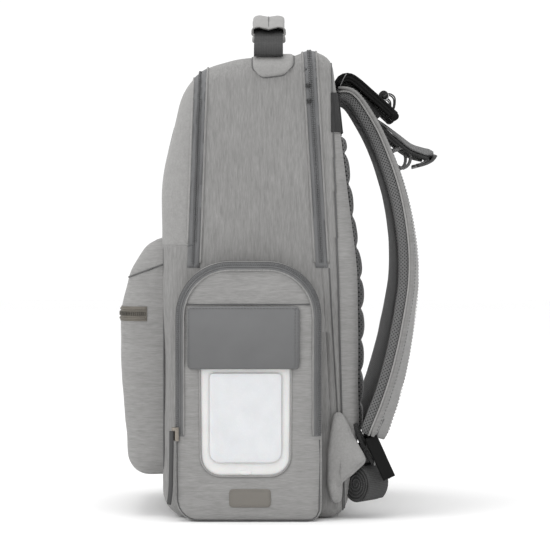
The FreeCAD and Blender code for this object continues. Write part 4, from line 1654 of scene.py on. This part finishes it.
def stroller_strap(name):
    """A wide black strap folded to and fro on top of the shoulder strap."""
    layers = [
        band("core", STROLLER, STRAP_X, 36.5, 9.4, 0.2, BLACK_WEBBING, 5.0),
        band("layer", STROLLER[:-1] + [(137, 393.6)], STRAP_X, 38, 2.6, 3.4, BLACK_WEBBING),
        band("layer", STROLLER[1:], STRAP_X, 37.6, 2.6, 0.3, BLACK_WEBBING),
        band("layer", STROLLER[:-1] + [(139, 391.8)], STRAP_X, 38, 2.6, -2.8, BLACK_WEBBING),
    ]
    end = [Vector((STRAP_X + side * 18.4, 141.4, 389.2)) for side in (-1, 1)]
    fold = cord("fold", end, 4.0, BLACK_WEBBING, 16)
    strap_uv_flat(fold)
    layers.append(fold)
    root = [(110, 407), (118, 397.5), (126, 388)]
    layers.append(band("chest_root", root, STRAP_X, 24, 6.5, 0, DARK_WEBBING))
    keeper = [(85.5, 413), (88.5, 420.5), (91.5, 427), (94, 431)]
    layers.append(band("keeper", keeper, STRAP_X, 39, 1.0, 0.0, GREY_WEBBING))
    return join(name, layers)


def strap_uv_flat(obj, uv_at=lambda co: (co.x, co.z + co.y)):
    """Strap coordinates taken from places. A small piece has its strap's width along X."""
    layer = obj.data.uv_layers.new(name="strap")
    for loop in obj.data.loops:
        layer.data[loop.index].uv = uv_at(obj.data.vertices[loop.vertex_index].co)


def spiral(name, turns, size_y, size_z, inner, width, thick, material, wobble=0.0):
    """A rolled strap round the X axis: it winds in from an oval to its core."""
    path = []
    count = int(turns * 26)
    for k in range(count + 1):
        u = k / count
        a = 2 * math.pi * turns * u - math.pi * 0.3
        shrink = 1 - (1 - inner) * u
        loose = 1 + wobble * math.sin(3.1 * a + 1)
        path.append(Vector((0, size_y * shrink * loose * math.cos(a), size_z * shrink * loose * math.sin(a))))
    roll = sweep(name, path, [Vector((1, 0, 0))] * len(path), section_points(width, thick, 8, 20))
    return wear(roll, material)


def clip_roll(name):
    """A rolled strap end held on the stroller strap in a small metal cradle."""
    low, high = node_box("clip_roll_right")
    middle = Vector((STRAP_X, (low.y + high.y) / 2 + 1.0, high.z - 1.5))
    roll = spiral("roll", 2.6, 4.3, 4.3, 0.36, 26, 1.2, DARK_WEBBING)
    roll.data.transform(Matrix.Translation(middle * MM))
    cradle = [(-5.0, 0.5), (-4.2, -3.4), (0, -5.6), (4.2, -3.4), (5.0, 0.5)]
    holder = band("cradle", [(middle.y + a, middle.z + b) for a, b in cradle], STRAP_X, 27, 1.1, 0, STEEL)
    reach = Vector((12.5, 0, 0))
    core = cord("core", [middle - reach, middle + reach], 2.2, DARK_WEBBING, 16)
    strap_uv_flat(core)
    return join(name, [roll, core, holder])


def wire_ring(name):
    """The thin wire ring that hangs from the cradle."""
    low, _ = node_box("wire_ring_right")
    start = Vector((low.y + 1.1, low.z + 12.1))
    arch = [start, start + Vector((6.0, 3.4)), start + Vector((11.4, 0.5)), start + Vector((12.3, -5)),
            start + Vector((11.4, -10.6))]
    flat = smooth_path(arch, 1.5)
    near, far = (at_x(flat, STRAP_X + side * 15) for side in (-1, 1))
    return cord(name, near + far[::-1], 0.75, DARK_METAL, 10, closed=True)


def chest_strap(name):
    """The chest webbing with its folded end."""
    upper = [(123, 387), (133, 380), (146, 369.5), (158, 360), (170, 355.5), (177, 353.5), (178.4, 350.5),
             (175.5, 349)]
    under = [(120.5, 386), (131, 376.5), (144, 364.5), (156, 355.5), (166, 351), (175, 349)]
    parts = [
        band("webbing", upper, STRAP_X, 24, 2.0, 0, MID_WEBBING, tilt=(3, 17)),
        band("under_layer", under, STRAP_X, 24, 3.6, 0.6, DARK_WEBBING, tilt=(3, 8)),
    ]
    return join(name, parts)


def chest_tail(name):
    """The chest strap's clip half, past the elastic loop."""
    tail = [(164, 341), (169, 342.2), (174, 344), (179, 347), (182, 351.5)]
    return band(name, tail, STRAP_X, 25, 3.0, 0, CLIP_PLASTIC, 4.0, tilt=(4, 4))


def elastic_loop(name):
    """The elastic loop that keeps the chest strap's tail, with its sewn tab."""
    loop = [(150.4, 362.0), (155.4, 357), (157.6, 350), (156.2, 343), (151, 338.5), (145.2, 340.2)]
    tab = [(138.5, 355.5), (144, 357.0), (151, 361.5)]
    parts = [
        band("loop", loop, STRAP_X, 12, 3.0, 0, MID_WEBBING, 4.0),
        band("loop_tab", tab, STRAP_X, 12, 4.2, 0, GREY_WEBBING, 4.0),
    ]
    return join(name, parts)


def yoke():
    """Webbing sewn across the top of the back, which carries the shoulder straps."""
    low, high = node_box("strap_yoke")
    across = region(x=(low.x, high.x), y=(60, None), z=(low.z, high.z))
    piece = carve(copy_of(SKIN, "strap_yoke_webbing"), *across)
    grow(piece, 3.2)
    strap_uv_flat(piece, lambda co: (co.z, co.x))
    thicken(piece, 3.0)
    wear(piece, DARK_WEBBING)
    place_on("bag", "dark_webbing", piece, "strap_yoke")

    ends = copy_of(SKIN, "yoke_ends")
    grow(ends, 1.2)
    carve(ends, *region(y=(YOKE_SEAM_Y, None), z=(low.z, high.z)))
    strap_uv_flat(ends)
    thicken(ends, 1.2)
    place_on("bag", "dark_webbing", wear(ends, DARK_WEBBING))


# ================================================================ lower ends
WING = [
    (82, 114, 5), (96, 88, 20), (112, 56, 4), (99, 43.5, 8), (88, 36, 3), (88, 16, 4), (78, 16, 4),
    (73.5, 36, 6), (73.5, 62, 40),
]


def wing(name):
    """The soft wedge that joins the lower webbing to the side panel."""
    low, high = node_box("wing_right")
    line = outline(WING, 3.0)
    levels = [(0.6, low.x), (0, low.x + 1.0), (0, high.x - 2.4), (0.7, high.x - 0.9), (2.0, high.x - 0.1)]
    piece = plate("wing_face", line, levels, 8, 1.6)
    close_back(piece)
    rumple(piece, 1.1, 17, 31)

    def hollow(p, n):
        hole = math.exp(-((p.y - 83.5) ** 2 + (p.z - 34) ** 2) / 14)
        crease = math.exp(-((p.z - 43 - (p.y - 84) * 0.42) / 2.2) ** 2)
        face = min(1.0, max(0.0, (p.x - low.x - 2.5) / 2))
        return Vector((-(3.0 * hole + 1.5 * crease) * face, 0, 0))
    move_points(piece, hollow)
    soften(piece)
    wear(piece, SMOOTH)
    path = at_x(inset_line(WING, 2.4, 4.0), high.x - 0.2)
    path.append(path[0])
    row = beads("wing_row", path, [Vector((1, 0, 0))] * len(path), 3.2, (2.0, 0.5, 0.5), lift=0.5)
    return join(name, [piece, wear(row, SMOOTH)])


def lower_webbing(name):
    """From the wing to the lock, and the short dark end that leaves the padded strap."""
    root = [(101, 50), (104, 55), (109, 64), (114, 74)]
    end = [(126, 98), (122.5, 91), (120, 85), (119, 78)]
    under = [(101, 92), (105, 79), (112, 64), (119, 53)]
    parts = [
        band("webbing", root, LOCK_X - 3, 38, 3.0, 0, DARK_WEBBING),
        band("strap_end", end, LOCK_X, 38, 4.5, 1.5, MID_WEBBING),
        band("strap_end_under", under, LOCK_X - 3, 36, 5.0, 0, DARK_WEBBING),
    ]
    return join(name, parts)


def ladder_lock(name):
    """The moulded lock: two thick rails and three bars across."""
    parts = []
    for side in (-1, 1):
        rail = [LOCK_TOP.lerp(LOCK_FOOT, k / 12) for k in range(13)]
        parts.append(band("rail", rail, LOCK_X + side * RAIL_OUT, 5.0, 12.5, 0, BLACK_PLASTIC, 3.0))
    for share in (0.06, 0.5, 0.94):
        y, z = LOCK_TOP.lerp(LOCK_FOOT, share)
        ends = [Vector((LOCK_X + side * RAIL_OUT, y, z)) for side in (-1, 1)]
        parts.append(cord("bar", ends, 3.2, BLACK_PLASTIC, 12))
    return join(name, parts)


def webbing_roll(name):
    """The spare webbing, rolled up and held by a thin keeper."""
    place = Vector(ROLL_PLACE)
    turn = Matrix.Translation(place * MM) @ Matrix.Rotation(math.radians(-35), 4, "Z")
    # The roll and its core wear the lighter copy of the webbing, painted light against the roll's own shade.
    roll = spiral("roll", 5.2, 15.5, 19.0, 0.1, 34, 1.9, LIT_ROLL_WEBBING, 0.012)
    core = loft("core", [[Vector((x, 14.6 * math.cos(a), 18.1 * math.sin(a)))
                          for a in (2 * math.pi * k / 40 for k in range(40))] for x in (-15.8, 15.8)],
                caps=(True, True))
    strap_uv_flat(core)
    wear(core, LIT_ROLL_WEBBING)
    for piece in (roll, core):
        piece.data.transform(turn)
    loop = ((18, 119.5, 72), (19.5, 120.5, 62), (18, 119.5, 52))
    side = [Vector((LOCK_X + out, y, z)) for out, y, z in loop]
    keeper = cord("keeper_cord", side, 0.8, GREY_WEBBING)
    strap_uv_flat(keeper)
    return join(name, [roll, core, keeper])


def rear_slider(node, body):
    """A small dark slider on the rear zip."""
    z = node_box(node)[0].z + 7
    place, _ = surface_of(SKIN)((400, 70, z), (-1, 0, 0))
    y = REAR_ZIP[0].y - (z - REAR_ZIP[0].z) * REAR_ZIP[1].z / REAR_ZIP[1].y - 3.0
    line = [Vector((place.x + 2.6, y, z + height)) for height in (2.0, 0, -2.0)]
    place_on(body, "metal", cord("rear_bead_" + body, line, 1.8, DARK_METAL, 12), node)


def straps():
    """Everything that hangs on the back, right and left."""
    shoulder_straps()
    yoke()
    pair_up(stroller_strap, "stroller_webbing", "black_webbing", "bag", "stroller_strap")
    pair_up(clip_roll, "rolled_tab", "metal", "bag", "clip_roll")
    pair_up(wire_ring, "wire_loop", "metal", "ring", "wire_ring")
    pair_up(chest_strap, "chest_webbing", "dark_webbing", "chest_strap", "sternum_webbing")
    pair_up(chest_tail, "chest_clip", "black_plastic", "chest_strap", "sternum_clip")
    pair_up(elastic_loop, "chest_loop", "dark_webbing", "chest_strap", "sternum_loop")
    pair_up(wing, "side_wing", "heather_fabric", "bag", "wing")
    pair_up(lower_webbing, "lower_strap", "dark_webbing", "bag", "lower_webbing")
    pair_up(ladder_lock, "strap_lock", "black_plastic", "lock", "ladder_lock")
    rear_slider("rear_slider_upper", "rear_slider_top")
    rear_slider("rear_slider_lower", "rear_slider_low")
    pair_up(webbing_roll, "spare_webbing", "dark_webbing", "bag", "webbing_roll")


# ================================================================ plain CAD nodes
def dress_nodes():
    """Gives every CAD node that stays shown its finished material."""
    looks = (
        (BOARD, ("base_board", "back_stiffener")),
        (LABEL_SKIN, ("front_pocket_pull",)),
        (PULL_SKIN, ("main_pull_upper", "main_pull_lower")),
        (METAL, ("front_pocket_slider", "wipes_slider", "main_slider_upper", "main_slider_lower")),
    )
    for material, names in looks:
        for name in names:
            wear(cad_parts[name], material)


# ================================================================ floor, light and camera
def studio():
    """A pale floor, a white backdrop and two soft lights."""
    floor = bpy.data.meshes.new("floor")
    far = 6.0
    corners = [(-far, -far, 0), (far, -far, 0), (far, far, 0), (-far, far, 0)]
    floor.from_pydata(corners, [], [(0, 1, 2, 3)])
    ground = linked("floor", floor)
    s = Shader("floor_paint")
    speckle = s.noise(s.object_place(), (400, 400, 400), 2.0)
    floor.materials.append(s.finish(s.tint(speckle, grey(0.93), grey(0.95)), 0.9))

    world = bpy.data.worlds.new("studio")
    bpy.context.scene.world = world
    world.use_nodes = True
    backdrop = world.node_tree.nodes["Background"]
    backdrop.inputs["Color"].default_value = (1, 1, 1, 1)
    backdrop.inputs["Strength"].default_value = 1.05

    area_light("key", (1.6, -1.7, 1.9), (0, 0, 0.25), 1.6, 16)
    area_light("top", (0.3, -0.1, 2.2), (0, 0, 0.3), 1.2, 13)
    bpy.context.scene.view_settings.view_transform = "Standard"


def area_light(name, at, towards, size, power):
    """A soft square light, in metres and watts."""
    data = bpy.data.lights.new(name, "AREA")
    data.size = size
    data.energy = power
    lamp = linked(name, data)
    lamp.location = at
    lamp.rotation_euler = (Vector(towards) - Vector(at)).to_track_quat("-Z", "Y").to_euler()


VIEW_WIDTH = 0.5225     # how much the picture shows at the bag's near side, in metres
VIEW_DISTANCE = 2.55
VIEW_Y = 0.0238
AIM_HEIGHT, EYE_HEIGHT = 0.2356, 0.30


def camera():
    """The photo's camera: a long lens from the bag's right, a little above its middle."""
    near = SIDE_FACE * MM
    data = bpy.data.cameras.new("camera")
    data.lens = data.sensor_width * VIEW_DISTANCE / VIEW_WIDTH
    eye = linked("camera", data)
    target = Vector((near, VIEW_Y, AIM_HEIGHT))
    eye.location = Vector((near + VIEW_DISTANCE, VIEW_Y, EYE_HEIGHT))
    eye.rotation_euler = (target - eye.location).to_track_quat("-Z", "Y").to_euler()
    bpy.context.scene.camera = eye


# ================================================================ all of it
camera()
studio()
body_parts()
body_seams()
long_zips()
front_badge()
quilted_back()
front_pocket()
pocket_face = wipes_side()
side_pull()
wipes_box()
wipes_lid()
thumb_catch()
flap()
side_label(pocket_face)
bottle_side()
bottle_hem()
handle_webbing()
grip()
handle_patches()
straps()
dress_nodes()
bpy.data.objects.remove(SKIN)
